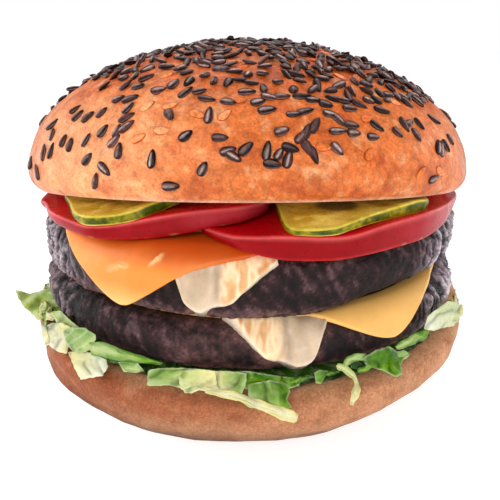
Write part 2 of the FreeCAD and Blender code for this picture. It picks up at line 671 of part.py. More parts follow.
for name, x, y in KEYS:
    body = doc.addObject("PartDesign::Body", fresh("key"))
    hx, hy = d.key_width / 2, d.key_depth / 2
    cap = sketch(body, "XY_Plane", [(-hx, -hy), (hx, -hy), (hx, hy), (-hx, hy)], d.key_bottom_z)
    p = body.newObject("PartDesign::Pad", fresh("pad"))
    p.Profile = cap
    put(p, "Length", d.key_top_z - d.key_bottom_z)
    fx, fy = hx + d.key_flange, hy + d.key_flange
    ring = sketch(body, "XY_Plane", [(-fx, -fy), (fx, -fy), (fx, fy), (-fx, fy)], d.key_flange_z)
    q = body.newObject("PartDesign::Pad", fresh("pad"))
    q.Profile = ring
    put(q, "Length", d.key_flange_thick)
    doc.recompute()
    chosen = []
    for i, e in enumerate(q.Shape.Edges, start=1):
        zs = [v.Point.z for v in e.Vertexes]
        if min(zs) > d.key_top_z.v - 1e-6 or (upright(e) and max(zs) > d.key_top_z.v - 1e-6):
            chosen.append("Edge%d" % i)
    soft = body.newObject("PartDesign::Fillet", fresh("fillet"))
    soft.Base = (q, chosen)
    soft.Radius = 1.2
    body.Tip = soft
    at(body, x, y, 0)
    node(name, body)

mat_z = d.board_z + d.board_thick
mat_web = cbox(2 * d.key_pitch_x + 14, 3 * d.key_pitch_y + 10, d.mat_thick, 0, d.key_mid_y, mat_z)
domes = []
for name, x, y in KEYS:
    c = doc.addObject("Part::Cone", fresh("dome"))
    put(c, "Radius1", 4.2)
    put(c, "Radius2", 2.8)
    put(c, "Height", d.mat_dome)
    domes.append(at(c, x, y, mat_z))
node("keypad_mat", fuse(mat_web, *domes))

board = box(2 * d.board_half_x, d.board_rear_y - d.board_front_y, d.board_thick, -d.board_half_x, d.board_front_y, d.board_z)
clips = [cyl(1.6, 10, x, y, d.board_z - 4) for x, y in posts]
node("main_board", cut(common(board, cyl(ch_in - 0.3, d.board_thick, 0, 0, d.board_z)), *clips))
heads = []
for x, y in posts:
    heads.append(fuse(cyl(2.6, 1.4, x, y, mat_z), cyl(1.2, 8.4, x, y, mat_z - 8.2)))
node("board_screws", group(*heads))
chip = cbox(16, 7.5, 2.4, -10, -12, d.board_z - 2.4)
node("dialler_chip", chip)
can = cyl(3.2, 9.5, 12, -4, d.board_z - 9.5)
coil = cbox(13, 11, 9, 12, 12, d.board_z - 9)
node("line_coil", coil)
node("smoothing_capacitor", can)

node("microphone", cyl(d.mic_radius, d.mic_height, 0, d.mic_y, mat_z + 0.2))
boot = cut(
    cyl(d.mic_boot_radius, bezel_z - mat_z - 0.1, 0, d.mic_y, mat_z),
    cyl(d.mic_radius, d.mic_height, 0, d.mic_y, mat_z + 0.2),
    cyl(3.4, 20, 0, d.mic_y, mat_z + 0.3),
)
node("mic_boot", boot)

# ------------------------------------------------------------- hook switch
px, py = d.plunger_x, d.plunger_y
rod = cyl(d.plunger_radius, d.plunger_top_z - d.plunger_flange_z, px, py, d.plunger_flange_z)
rod = rounded_edges(rod, 1.4, lambda e: len(e.Vertexes) == 1 and abs(e.Vertexes[0].Point.z - d.plunger_top_z.v) < 1e-6)
collar = cyl(d.plunger_flange_radius, 1.0, px, py, d.plunger_flange_z)
stem = cyl(d.plunger_stem_radius, d.plunger_flange_z - d.hook_switch_z - 2.0, px, py, d.hook_switch_z + 2.0)
node("hook_plunger", fuse(rod, collar, stem))
sw = cbox(11, 9, d.hook_switch_height, px, py, d.hook_switch_z)
node("hook_switch", cut(sw, cyl(d.plunger_stem_radius + 0.4, 30, px, py, d.hook_switch_z + 1.0)))
sp_end = dims.spring_wire + 0.1
sp_z0 = dims.hook_switch_z + dims.hook_switch_height + sp_end
sp_h = dims.plunger_flange_z - sp_end - sp_z0
helix = Part.makeHelix(sp_h / dims.spring_turns, sp_h, dims.spring_coil)
ring = Part.Wire(Part.makeCircle(dims.spring_wire, V(dims.spring_coil, 0, 0), V(0, 1, 0)))
coil_shape = Part.Wire(helix.Edges).makePipeShell([ring], True, True)
spring = doc.addObject("Part::Feature", "spring_shape")
spring.Shape = coil_shape
spring.Placement = PLACE(V(dims.plunger_x, dims.plunger_y, sp_z0), ROT())
node("hook_spring", spring)

# ------------------------------------------------------------- hinge
hy, hz, hr = d.hinge_y, d.hinge_z, d.hinge_radius
inner_end = d.hinge_lid_half + d.hinge_gap
knuckle_len = d.hinge_base_half - inner_end
block = box(2 * d.hinge_base_half, hy - 46 - 5.2, 11.4, -d.hinge_base_half, 46, hz - 12.0)
parts_ = [block]
for x0 in (inner_end, -d.hinge_base_half):
    parts_.append(cyl_x(hr, knuckle_len, x0, hy, hz))
    arm = pad("YZ_Plane", [(hy - 6.0, hz - 12.0), (hy - 2.0, hz - 10.0), (hy + 2.9, hz - 2.0), (hy, hz), (hy - 2.6, hz - 2.4), (hy - 5.6, hz - 2.6), (hy - 6.0, hz - 4.0)], knuckle_len)
    at(arm, x0, 0, 0)
    parts_.append(arm)
bracket = cut(
    fuse(*parts_),
    cyl(d.chassis_radius + 0.05, 60, 0, 0, 20),
    cyl_x(d.hinge_pin_radius, 60, -30, hy, hz),
    cyl_y(1.15, 9, -12.5, 46, hz - 8.3),
    cyl_y(1.15, 9, 12.5, 46, hz - 8.3),
)
node("base_hinge", bracket)
hs = []
for x in (-12.5, 12.5):
    hs.append(fuse(cyl_y(1.1, 10.0, x, 44.5, hz - 8.3), cyl_y(2.3, 1.6, x, 43.6, hz - 8.3)))
node("hinge_screws", group(*hs))
pin = fuse(cyl_x(d.hinge_pin_radius, 2 * d.hinge_base_half + 0.4, -d.hinge_base_half - 0.4, hy, hz), cyl_x(2.4, 0.8, d.hinge_base_half, hy, hz), cyl_x(2.4, 0.8, -d.hinge_base_half - 0.8, hy, hz))
node("hinge_pin", pin)

# ------------------------------------------------------------- top bun
def dome(inset, n=13):
    a, b = d.bun_top_radius - inset, d.bun_top_rise - inset
    out = []
    for i in range(n + 1):
        t = math.radians(90 - 90.0 * i / n)
        out.append((a * math.cos(t), b * math.sin(t)))
    out[0] = (Q.of(0), b)
    out[-1] = (a, Q.of(0))
    return out


def rim(inset):
    R, r, h = d.bun_top_radius - inset, d.bun_top_rim_radius - inset, d.bun_top_drop
    return [(R - 0.35, -0.34 * h), (R - 1.4, -0.7 * h), (r, -h)]


def leaning(body):
    body.Placement = PLACE(V(0, 0, 0), ROT(V(1, 0, 0), -d.bun_top_lean.v))
    put(body, "Placement.Base.z", d.bun_top_wide_z)
    return body


back = rim(d.patty_wall)
back.reverse()
up_in_ = dome(d.patty_wall)
up_in_.reverse()
crown = leaning(revolve(dome(0) + rim(0) + back + up_in_))
below = box(200, 200, 60, -100, -100, d.lid_rear_z - 60)
hollow = leaning(revolve(dome(d.patty_wall + 0.15) + rim(d.patty_wall + 0.15) + [(Q.of(0), -d.bun_top_drop)]))
lid_screws_at = [(d.lid_screw_side_x, d.lid_screw_side_y), (-d.lid_screw_side_x, d.lid_screw_side_y), (d.lid_screw_rear_x, d.lid_screw_rear_y), (-d.lid_screw_rear_x, d.lid_screw_rear_y)]
inside = leaning(revolve(dome(d.patty_wall - 0.5) + [(Q.of(0), Q.of(0))]))
liner_top = d.liner_z + d.liner_thick
bosses = [common(cyl(3.4, 40, x, y, liner_top), inside) for x, y in lid_screws_at]
boss_bores = [cyl(1.25, 9, x, y, liner_top - 1) for x, y in lid_screws_at]
lid_way = box(2 * d.hinge_lid_half + 0.6, 30, 9.0, -d.hinge_lid_half - 0.3, 46, d.lid_rear_z - 2)
lid_round = cyl_x(hr + 0.5, 2 * d.hinge_base_half + 3, -d.hinge_base_half - 1.5, hy, hz)
node("top_bun", cut(fuse(crown, *bosses), below, lid_way, lid_round, *boss_bores))

# ------------------------------------------------------------- lid liner
fold_y = -(d.liner_z - d.lid_rear_z - d.liner_inset) / d.lid_front_slope
far = Q.of(64.0)
far_rise = (far + fold_y) * d.lid_front_slope
slab = pad("YZ_Plane", [
    (far, d.liner_z), (fold_y, d.liner_z), (-far, d.liner_z + far_rise), (-far, d.liner_z + far_rise + d.liner_thick * 1.02),
    (fold_y - 0.2, liner_top), (far, liner_top)], 140, both=True)
liner_cuts = [cyl(d.ear_radius, 30, 0, d.ear_y, d.liner_z - 6)]
for x, y in lid_screws_at:
    liner_cuts.append(cyl(1.7, 20, x, y, d.liner_z - 6))
    liner_cuts.append(cyl(2.9, 3.2, x, y, d.liner_z - 2.0))
liner_cuts.append(box(2 * d.hinge_lid_half + 0.6, 30, 9.0, -d.hinge_lid_half - 0.3, 49.2, d.lid_rear_z - 2))
liner_cuts.append(cyl_x(hr + 0.5, 2 * d.hinge_base_half + 3, -d.hinge_base_half - 1.5, hy, hz))
node("lid_liner", cut(common(slab, hollow), *liner_cuts))

sound = [cyl(d.ear_hole_radius, 20, 0, d.ear_y, d.liner_z - 5)]
for n_, rr in ((6, 4.2), (12, 8.4), (16, 12.4)):
    for k in range(n_):
        t = 2 * math.pi * k / n_
        sound.append(cyl(d.ear_hole_radius, 20, rr * math.cos(t), d.ear_y + rr * math.sin(t), d.liner_z - 5))
grille = fuse(cyl(d.ear_radius - 0.05, d.ear_grille_thick, 0, d.ear_y, d.liner_z), cyl(d.ear_radius + 1.8, 0.9, 0, d.ear_y, liner_top))
node("earpiece_grille", cut(grille, *sound))
gz = liner_top + 0.9
node("earpiece_gasket", cut(cyl(d.speaker_radius, d.gasket_thick, 0, d.ear_y, gz), cyl(d.speaker_radius - 1.4, 10, 0, d.ear_y, gz - 2)))
spk = fuse(cyl(d.speaker_radius, 3.0, 0, d.ear_y, gz + d.gasket_thick), cyl(d.speaker_radius - 4.5, d.speaker_height, 0, d.ear_y, gz + d.gasket_thick))
node("earpiece_speaker", spk)
node("earpiece_lead", cyl_y(0.8, 24.0, 0, d.ear_y + 15.2, liner_top + 2.4))

lid_heads = []
for x, y in lid_screws_at:
    lid_heads.append(fuse(cyl(2.6, 1.0, x, y, d.liner_z + 0.2), cyl(1.2, 8.0, x, y, d.liner_z + 1.0)))
node("lid_screws", group(*lid_heads))

knuckle = cyl_x(hr, 2 * d.hinge_lid_half, -d.hinge_lid_half, hy, hz)
limb = pad("YZ_Plane", [(hy, hz), (hy + 3.3, hz + 1.4), (hy - 1.6, hz + 6.6), (hy - 12.2, hz + 6.6), (hy - 12.2, hz + 1.0), (hy - 3.0, hz + 1.0)], 2 * d.hinge_lid_half, both=True)
node("lid_hinge", cut(fuse(knuckle, limb), cyl_x(d.hinge_lid_bore, 60, -30, hy, hz)))

# ------------------------------------------------------------- fillings under the lid
over = pad("YZ_Plane", [
    (far, d.liner_z - 0.12), (fold_y, d.liner_z - 0.12), (-far - 10, d.liner_z + far_rise + 10 * d.lid_front_slope - 0.12),
    (-far - 10, Q.of(110)), (far, Q.of(110))], 200, both=True)
fill = leaning(revolve(dome(-0.12) + rim(-0.12) + [(d.bun_top_rim_radius + 0.12, -d.bun_top_drop - 0.12), (Q.of(0), -d.bun_top_drop - 0.12)]))
key_field = box(2 * d.bezel_half_x + 1.2, 90, 40, -d.bezel_half_x - 0.6, d.bezel_front_y - 0.6, 40)
bumpers_at = [(d.bumper_x, d.bumper_y), (-d.bumper_x, d.bumper_y)]
bumper_room = [cyl(d.bumper_radius + 0.3, 40, x, y, 40) for x, y in bumpers_at]
plunger_room = cyl(5.0, 40, d.plunger_x, d.plunger_y, 40)
screw_room = [cyl(4.0, 40, x, y, 40) for x, y in lid_screws_at]
tom_r = cyl(d.tomato_right_radius, d.tomato_right_thick, d.tomato_right_x, d.tomato_right_y, d.tomato_right_z)
tom_r = rounded_edges(tom_r, 1.2, lambda e: len(e.Vertexes) == 1)
node("tomato_right", cut(tom_r, over, fill, key_field, plunger_room, *(bumper_room + screw_room)))
tom_l = cyl(d.tomato_left_radius, d.tomato_left_thick, d.tomato_left_x, d.tomato_left_y, d.tomato_left_z)
tom_l = rounded_edges(tom_l, 1.2, lambda e: len(e.Vertexes) == 1)
clear_r = cyl(d.tomato_right_radius + 0.1, d.tomato_right_thick + 0.2, d.tomato_right_x, d.tomato_right_y, d.tomato_right_z - 0.1)
node("tomato_left", cut(tom_l, over, fill, key_field, clear_r, *(bumper_room + screw_room)))
pk_l = cyl(d.pickle_radius - 1.5, d.pickle_thick, d.pickle_left_x, d.pickle_left_y, d.tomato_left_z + d.tomato_left_thick + 0.1)
node("pickle_left", cut(rounded_edges(pk_l, 0.7, lambda e: len(e.Vertexes) == 1), over, fill))
pk_r = cyl(d.pickle_radius, d.pickle_thick, d.pickle_right_x, d.pickle_right_y, d.tomato_right_z + d.tomato_right_thick + 0.1)
node("pickle_right", cut(rounded_edges(pk_r, 0.7, lambda e: len(e.Vertexes) == 1), over, fill))
bump_z = d.patty_up_top_z + 0.1 + d.cheese_up_thick + 0.1
node("lid_bumpers", group(*[cyl(d.bumper_radius, d.liner_z - bump_z, x, y, bump_z) for x, y in bumpers_at]))

# ------------------------------------------------------------- check and write
doc.recompute()
bad = []
for o in doc.Objects:
    if any(s in ("Invalid", "Error") for s in o.State):
        bad.append("%s %s" % (o.Label, o.State))
for label, o in NODES:
    s = o.Shape
    if s.isNull() or not s.isValid() or not s.Solids:
        bad.append("%s has no valid solid" % label)
if bad:
    raise RuntimeError("; ".join(bad))
for label, o in NODES:
    o.Shape.exportStep("parts/%s.step" % label)
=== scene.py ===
import json
import math
import bpy
import bmesh
import numpy as np
from mathutils import Matrix, Vector


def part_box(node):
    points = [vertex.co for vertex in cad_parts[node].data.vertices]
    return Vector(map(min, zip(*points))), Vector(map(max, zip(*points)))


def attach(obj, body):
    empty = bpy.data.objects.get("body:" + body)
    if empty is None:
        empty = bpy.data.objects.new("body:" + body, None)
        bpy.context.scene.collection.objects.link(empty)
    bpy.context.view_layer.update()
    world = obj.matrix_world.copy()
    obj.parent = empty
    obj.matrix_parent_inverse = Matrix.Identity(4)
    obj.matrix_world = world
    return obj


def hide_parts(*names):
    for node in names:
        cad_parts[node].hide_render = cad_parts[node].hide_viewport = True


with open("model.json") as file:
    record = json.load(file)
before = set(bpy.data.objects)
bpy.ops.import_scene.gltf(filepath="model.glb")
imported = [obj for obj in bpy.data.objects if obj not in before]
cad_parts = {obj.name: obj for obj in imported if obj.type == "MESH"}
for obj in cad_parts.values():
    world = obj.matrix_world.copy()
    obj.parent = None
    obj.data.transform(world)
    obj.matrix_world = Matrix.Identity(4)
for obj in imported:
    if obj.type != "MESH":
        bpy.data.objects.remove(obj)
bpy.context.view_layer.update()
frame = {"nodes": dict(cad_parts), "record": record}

NODES = frame["nodes"]
SCENE = bpy.context.scene


# ================================================================ small maths
def lin(r, g, b):
    c = np.array([r, g, b], float) / 255.0
    return np.where(c <= 0.04045, c / 12.92, ((c + 0.055) / 1.055) ** 2.4)


def smooth(a, b, x):
    t = np.clip((np.asarray(x, float) - a) / (b - a), 0, 1)
    return t * t * (3 - 2 * t)


def mix(a, b, t):
    t = np.asarray(t, float)
    if np.ndim(a) >= 1 and np.shape(a)[-1] == 3 and (np.ndim(t) == 0 or np.shape(t)[-1] != 3 or np.ndim(t) == 1):
        t = t[..., None] if np.ndim(t) else t
    return np.asarray(a) * (1 - t) + np.asarray(b) * t


def _hash(ix, iy, iz, seed):
    h = (ix * 73856093) ^ (iy * 19349663) ^ (iz * 83492791) ^ (seed * 40503 + 977)
    h = h & 0xFFFFFFFF
    h = ((h ^ (h >> 16)) * 0x45D9F3B) & 0xFFFFFFFF
    h = ((h ^ (h >> 16)) * 0x45D9F3B) & 0xFFFFFFFF
    return h ^ (h >> 16)


def perlin(p, seed=0):
    p = np.asarray(p, float).reshape(-1, 3)
    i = np.floor(p).astype(np.int64)
    f = p - i
    u = f * f * f * (f * (f * 6 - 15) + 10)
    out = np.zeros(len(p))
    for dx in (0, 1):
        for dy in (0, 1):
            for dz in (0, 1):
                h = _hash(i[:, 0] + dx, i[:, 1] + dy, i[:, 2] + dz, seed)
                a = (h & 0xFFFF) / 65536.0 * 2 * math.pi
                z = ((h >> 16) & 0xFFFF) / 65535.0 * 2 - 1
                r = np.sqrt(np.maximum(0, 1 - z * z))
                d = r * np.cos(a) * (f[:, 0] - dx) + r * np.sin(a) * (f[:, 1] - dy) + z * (f[:, 2] - dz)
                w = (u[:, 0] if dx else 1 - u[:, 0]) * (u[:, 1] if dy else 1 - u[:, 1]) * (u[:, 2] if dz else 1 - u[:, 2])
                out += w * d
    return out * 1.7


def fbm(p, seed=0, octaves=4, gain=0.5):
    p = np.asarray(p, float).reshape(-1, 3)
    out = np.zeros(len(p))
    amp, tot = 1.0, 0.0
    for k in range(octaves):
        out += amp * perlin(p * (2.0 ** k) + 17.3 * k, seed + k)
        tot += amp
        amp *= gain
    return out / tot


def worley(p, seed=0):
    """Distances to the nearest and second nearest scattered point, and a random number for the nearest."""
    p = np.asarray(p, float).reshape(-1, 3)
    i = np.floor(p).astype(np.int64)
    f1 = np.full(len(p), 9.0)
    f2 = np.full(len(p), 9.0)
    ident = np.zeros(len(p))
    for dx in (-1, 0, 1):
        for dy in (-1, 0, 1):
            for dz in (-1, 0, 1):
                cx, cy, cz = i[:, 0] + dx, i[:, 1] + dy, i[:, 2] + dz
                h = _hash(cx, cy, cz, seed)
                k = _hash(cx + 31, cy - 17, cz + 11, seed + 5)
                q = np.stack([cx + (h & 1023) / 1023.0, cy + ((h >> 10) & 1023) / 1023.0, cz + (k & 1023) / 1023.0], 1)
                d = np.sqrt(((q - p) ** 2).sum(1))
                near = d < f1
                f2 = np.where(near, f1, np.minimum(f2, d))
                ident = np.where(near, ((k >> 10) & 1023) / 1023.0, ident)
                f1 = np.where(near, d, f1)
    return f1, f2, ident


def spline(pts, n, closed=False):
    """Points along a smooth line through pts (rows of any length)."""
    p = np.asarray(pts, float)
    if closed:
        p = np.vstack([p[-1], p, p[0], p[1]])
    else:
        p = np.vstack([2 * p[0] - p[1], p, 2 * p[-1] - p[-2]])
    segs = len(p) - 3
    t = np.linspace(0, segs, n, endpoint=not closed)
    k = np.minimum(t.astype(int), segs - 1)
    u = (t - k)[:, None]
    a, b, c, e = p[k], p[k + 1], p[k + 2], p[k + 3]
    return 0.5 * (2 * b + (c - a) * u + (2 * a - 5 * b + 4 * c - e) * u ** 2 + (3 * b - a - 3 * c + e) * u ** 3)


# ================================================================ the view
PITCH = math.radians(20.03)
FOCAL = 577.08
CAM = np.array([0.0, -165.0, 98.06])
FWD = np.array([0.0, math.cos(PITCH), -math.sin(PITCH)])
UPV = np.array([0.0, math.sin(PITCH), math.cos(PITCH)])
RGT = np.array([1.0, 0.0, 0.0])
MID_Y = 250 - 13.3


def aim(px, py):
    d = FWD + RGT * (px - 250) / FOCAL + UPV * (MID_Y - py) / FOCAL
    return d / np.linalg.norm(d)


def project(p):
    q = np.asarray(p, float) - CAM
    d = q @ FWD
    return 250 + FOCAL * q[..., 0] / d, MID_Y - FOCAL * (q @ UPV) / d, d


def strike(px, py, inside, near=70.0, far=260.0):
    """First point on the sight line where inside(points) turns from positive to negative."""
    d = aim(px, py)
    t = np.linspace(near, far, 600)
    v = inside(CAM + d * t[:, None])
    k = np.nonzero((v[:-1] > 0) & (v[1:] <= 0))[0]
    if not len(k):
        return None
    a, b = t[k[0]], t[k[0] + 1]
    for _ in range(24):
        m = (a + b) / 2
        if inside((CAM + d * m)[None])[0] > 0:
            a = m
        else:
            b = m
    return CAM + d * b


# ================================================================ meshes
def grid_faces(n, m, close_u, close_v, start=0, flip=False):
    idx = np.arange(n * m).reshape(n, m) + start
    a = idx if close_u else idx[:-1]
    b = np.roll(idx, -1, 0) if close_u else idx[1:]
    if close_v:
        q = np.stack([a, b, np.roll(b, -1, 1), np.roll(a, -1, 1)], -1)
    else:
        q = np.stack([a[:, :-1], b[:, :-1], b[:, 1:], a[:, 1:]], -1)
    q = q.reshape(-1, 4)
    return q[:, ::-1] if flip else q


def new_object(name, verts, faces, mat):
    me = bpy.data.meshes.new(name)
    me.from_pydata((np.asarray(verts, float) * 0.001).tolist(), [], [list(map(int, f)) for f in faces])
    me.update()
    ob = bpy.data.objects.new(name, me)
    SCENE.collection.objects.link(ob)
    me.materials.append(mat)
    return ob


def coords(ob):
    co = np.zeros(len(ob.data.vertices) * 3, np.float32)
    ob.data.vertices.foreach_get("co", co)
    return co.reshape(-1, 3).astype(float) * 1000.0


def tidy(ob, weld=0.0):
    bm = bmesh.new()
    bm.from_mesh(ob.data)
    if weld:
        bmesh.ops.remove_doubles(bm, verts=bm.verts, dist=weld)
    bmesh.ops.recalc_face_normals(bm, faces=bm.faces)
    bm.to_mesh(ob.data)
    bm.free()
    ob.data.update()


def mend(ob):
    """Close the pinholes that a cut leaves, split its many-sided faces and drop faces folded onto each other."""
    bm = bmesh.new()
    bm.from_mesh(ob.data)
    rim = [e for e in bm.edges if len(e.link_faces) == 1]
    if rim:
        bmesh.ops.holes_fill(bm, edges=rim, sides=8)
    bmesh.ops.triangulate(bm, faces=[f for f in bm.faces if len(f.verts) > 4], ngon_method="BEAUTY")
    bm.verts.index_update()
    twins = {}
    for f in bm.faces:
        twins.setdefault(tuple(sorted(v.index for v in f.verts)), []).append(f)
    folded = [f for q in twins.values() if len(q) > 1 for f in q]
    if folded:
        bmesh.ops.delete(bm, geom=folded, context="FACES")
    bmesh.ops.recalc_face_normals(bm, faces=bm.faces)
    bm.to_mesh(ob.data)
    bm.free()
    ob.data.update()


def carve(ob, solids):
    """Cut closed solids (verts in mm, faces) out of ob."""
    tools = []
    for k, (v, f) in enumerate(solids):
        me = bpy.data.meshes.new("cutter")
        me.from_pydata((np.asarray(v, float) * 0.001).tolist(), [], [list(map(int, q)) for q in f])
        t = bpy.data.objects.new("cutter", me)
        SCENE.collection.objects.link(t)
        tidy(t)
        mod = ob.modifiers.new("cut%d" % k, "BOOLEAN")
        mod.operation = "DIFFERENCE"
        mod.solver = "EXACT"
        mod.object = t
        tools.append(t)
    deps = bpy.context.evaluated_depsgraph_get()
    me = bpy.data.meshes.new_from_object(ob.evaluated_get(deps))
    me.name = ob.name
    ob.modifiers.clear()
    old = ob.data
    ob.data = me
    bpy.data.meshes.remove(old)
    for t in tools:
        m = t.data
        bpy.data.objects.remove(t)
        bpy.data.meshes.remove(m)
    mend(ob)


def paint(ob, colours, wet=None):
    at = ob.data.color_attributes.get("Col") or ob.data.color_attributes.new("Col", "FLOAT_COLOR", "POINT")
    c = np.ones((len(ob.data.vertices), 4), np.float32)
    c[:, :3] = np.clip(colours, 0, 1)
    if wet is not None:
        c[:, 3] = np.clip(wet, 0, 1)
    at.data.foreach_set("color", c.ravel())


def done(ob, body, stands_for=(), sharp=None):
    n = len(ob.data.polygons)
    ob.data.polygons.foreach_set("use_smooth", [True] * n)
    if sharp:
        ob.data.set_sharp_from_angle(angle=math.radians(sharp))
    ob.data.update()
    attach(ob, body)
    if stands_for:
        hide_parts(*stands_for)
    return ob


def box_solid(x0, x1, y0, y1, z0, z1):
    v = [(x, y, z) for x in (x0, x1) for y in (y0, y1) for z in (z0, z1)]
    f = [(0, 1, 3, 2), (4, 6, 7, 5), (0, 4, 5, 1), (2, 3, 7, 6), (0, 2, 6, 4), (1, 5, 7, 3)]
    return v, f


def rod_solid(axis, r, a, b, u, w, n=40):
    """Closed cylinder along x, y or z from a to b; u, w are the other two coordinates."""
    v = []
    for e in (a, b):
        for k in range(n):
            c, s = r * math.cos(2 * math.pi * k / n), r * math.sin(2 * math.pi * k / n)
            if axis == "x":
                v.append((e, u + c, w + s))
            elif axis == "y":
                v.append((u + c, e, w + s))
            else:
                v.append((u + c, w + s, e))
    f = [(k, (k + 1) % n, n + (k + 1) % n, n + k) for k in range(n)]
    f += [tuple(range(n))[::-1], tuple(range(n, 2 * n))]
    return v, f


# ================================================================ materials
def shade(name, rough=0.5, spec=0.5, coat=0.0, coat_rough=0.15, sss=0.0, sss_radius=(1.0, 0.4, 0.2), sss_scale=0.002,
          metal=0.0, sheen=0.0, thin=0.0, colour=None, mottles=(), bumps=(), rough_by=None, wet=None):
    """Principled surface. Colour comes from the painted attribute, or from colour, times the mottles.
    mottles: (kind, scale per m, detail, low, high); bumps: (kind, scale per m, detail, strength, height in m)."""
    m = bpy.data.materials.new(name)
    m.use_nodes = True
    nt = m.node_tree
    nt.nodes.clear()
    out = nt.nodes.new("ShaderNodeOutputMaterial")
    b = nt.nodes.new("ShaderNodeBsdfPrincipled")
    nt.links.new(b.outputs[0], out.inputs[0])
    b.inputs["Roughness"].default_value = rough
    b.inputs["Specular IOR Level"].default_value = spec
    b.inputs["Coat Weight"].default_value = coat
    b.inputs["Coat Roughness"].default_value = coat_rough
    b.inputs["Subsurface Weight"].default_value = sss
    b.inputs["Subsurface Radius"].default_value = sss_radius
    b.inputs["Subsurface Scale"].default_value = sss_scale
    b.inputs["Metallic"].default_value = metal
    b.inputs["Sheen Weight"].default_value = sheen
    tc = nt.nodes.new("ShaderNodeTexCoord")

    def field(kind, scale, detail):
        stretch = None
        if isinstance(scale, tuple):
            stretch, scale = scale, 1.0
        src = tc.outputs["Object"]
        if stretch:
            mp = nt.nodes.new("ShaderNodeMapping")
            mp.inputs["Scale"].default_value = stretch
            nt.links.new(src, mp.inputs[0])
            src = mp.outputs[0]
        if kind == "noise":
            t = nt.nodes.new("ShaderNodeTexNoise")
            t.inputs["Scale"].default_value = scale
            t.inputs["Detail"].default_value = detail
            t.inputs["Roughness"].default_value = 0.6
            nt.links.new(src, t.inputs["Vector"])
            return t.outputs[0]
        t = nt.nodes.new("ShaderNodeTexVoronoi")
        t.inputs["Scale"].default_value = scale
        t.feature = "SMOOTH_F1" if kind == "cells" else "F1"
        nt.links.new(src, t.inputs["Vector"])
        return t.outputs["Distance"]

    def ranged(src, a0, a1, b0, b1):
        r = nt.nodes.new("ShaderNodeMapRange")
        r.inputs["From Min"].default_value = a0
        r.inputs["From Max"].default_value = a1
        r.inputs["To Min"].default_value = b0
        r.inputs["To Max"].default_value = b1
        nt.links.new(src, r.inputs["Value"])
        return r.outputs[0]

    if colour is None:
        at = nt.nodes.new("ShaderNodeAttribute")
        at.attribute_name = "Col"
        col = at.outputs["Color"]
    else:
        col = None
    base = None if colour is None else tuple(float(v) for v in colour)
    for k, (kind, scale, detail, low, high) in enumerate(mottles):
        f = ranged(field(kind, scale, detail), 0.3, 0.7, low, high)
        s = nt.nodes.new("ShaderNodeVectorMath")
        s.operation = "SCALE"
        if col is None:
            s.inputs[0].default_value = base
        else:
            nt.links.new(col, s.inputs[0])
        nt.links.new(f, s.inputs["Scale"])
        col = s.outputs[0]
    if col is None:
        b.inputs["Base Color"].default_value = base + (1.0,)
    else:
        b.inputs["Base Color"].default_value = (base or (0.5, 0.5, 0.5)) + (1.0,)
        nt.links.new(col, b.inputs["Base Color"])
    if wet:
        dry, soaked = wet
        nt.links.new(ranged(at.outputs["Alpha"], 0.0, 1.0, dry, soaked), b.inputs["Roughness"])
    elif rough_by:
        kind, scale, detail, low, high = rough_by
        nt.links.new(ranged(field(kind, scale, detail), 0.3, 0.7, low, high), b.inputs["Roughness"])
    normal = None
    for kind, scale, detail, strength, height in bumps:
        bp = nt.nodes.new("ShaderNodeBump")
        bp.inputs["Strength"].default_value = strength
        bp.inputs["Distance"].default_value = height
        nt.links.new(field(kind, scale, detail), bp.inputs["Height"])
        if normal:
            nt.links.new(normal, bp.inputs["Normal"])
        normal = bp.outputs[0]
    if normal:
        nt.links.new(normal, b.inputs["Normal"])
    if thin:
        tr = nt.nodes.new("ShaderNodeBsdfTranslucent")
        if col is None:
            tr.inputs["Color"].default_value = base + (1.0,)
        else:
            nt.links.new(col, tr.inputs["Color"])
        mx = nt.nodes.new("ShaderNodeMixShader")
        mx.inputs[0].default_value = thin
        nt.links.new(b.outputs[0], mx.inputs[1])
        nt.links.new(tr.outputs[0], mx.inputs[2])
        nt.links.new(mx.outputs[0], out.inputs[0])
    return m


M_CROWN = shade("crown_crust", rough=0.45, spec=0.2, sss=0.06, sss_radius=(1, 0.45, 0.2), sss_scale=0.0012,
                mottles=[("noise", 160, 4, 0.84, 1.12), ("noise", 700, 3, 0.76, 1.22), ("noise", 2000, 3, 0.76, 1.24)],
                bumps=[("noise", 420, 4, 0.5, 0.0009), ("noise", 1500, 3, 0.45, 0.0004)], rough_by=("noise", 300, 3, 0.3, 0.52))
M_HEEL = shade("heel_crust", rough=0.6, spec=0.08, sss=0.1, sss_radius=(1, 0.45, 0.2), sss_scale=0.0012,
               mottles=[("noise", 200, 4, 0.88, 1.1), ("noise", 700, 3, 0.86, 1.14), ("noise", 2000, 3, 0.72, 1.3)],
               bumps=[("noise", 500, 4, 0.35, 0.0007), ("noise", 2100, 3, 0.35, 0.0003)], rough_by=("noise", 300, 3, 0.5, 0.68))
M_SEED = shade("seed_husk", rough=0.28, spec=0.16, mottles=[("noise", 1200, 3, 0.6, 1.5)],
               bumps=[("noise", (900, 900, 900), 2, 0.15, 0.0001)])
M_PATTY = shade("grilled_patty", rough=0.45, spec=0.27, mottles=[("noise", 420, 5, 0.6, 1.4), ("noise", 1500, 4, 0.5, 1.6)],
                bumps=[("noise", 620, 5, 0.7, 0.0012), ("noise", 2200, 4, 0.5, 0.0004)], wet=(0.72, 0.17))
M_CHEESE = shade("soft_cheese", rough=0.4, spec=0.28, sss=0.15, sss_radius=(1, 0.6, 0.25), sss_scale=0.002,
                 mottles=[("noise", 240, 3, 0.95, 1.04)], bumps=[("noise", 420, 2, 0.06, 0.0006), ("noise", 2400, 2, 0.05, 0.0001)],
                 rough_by=("noise", 500, 2, 0.32, 0.44))
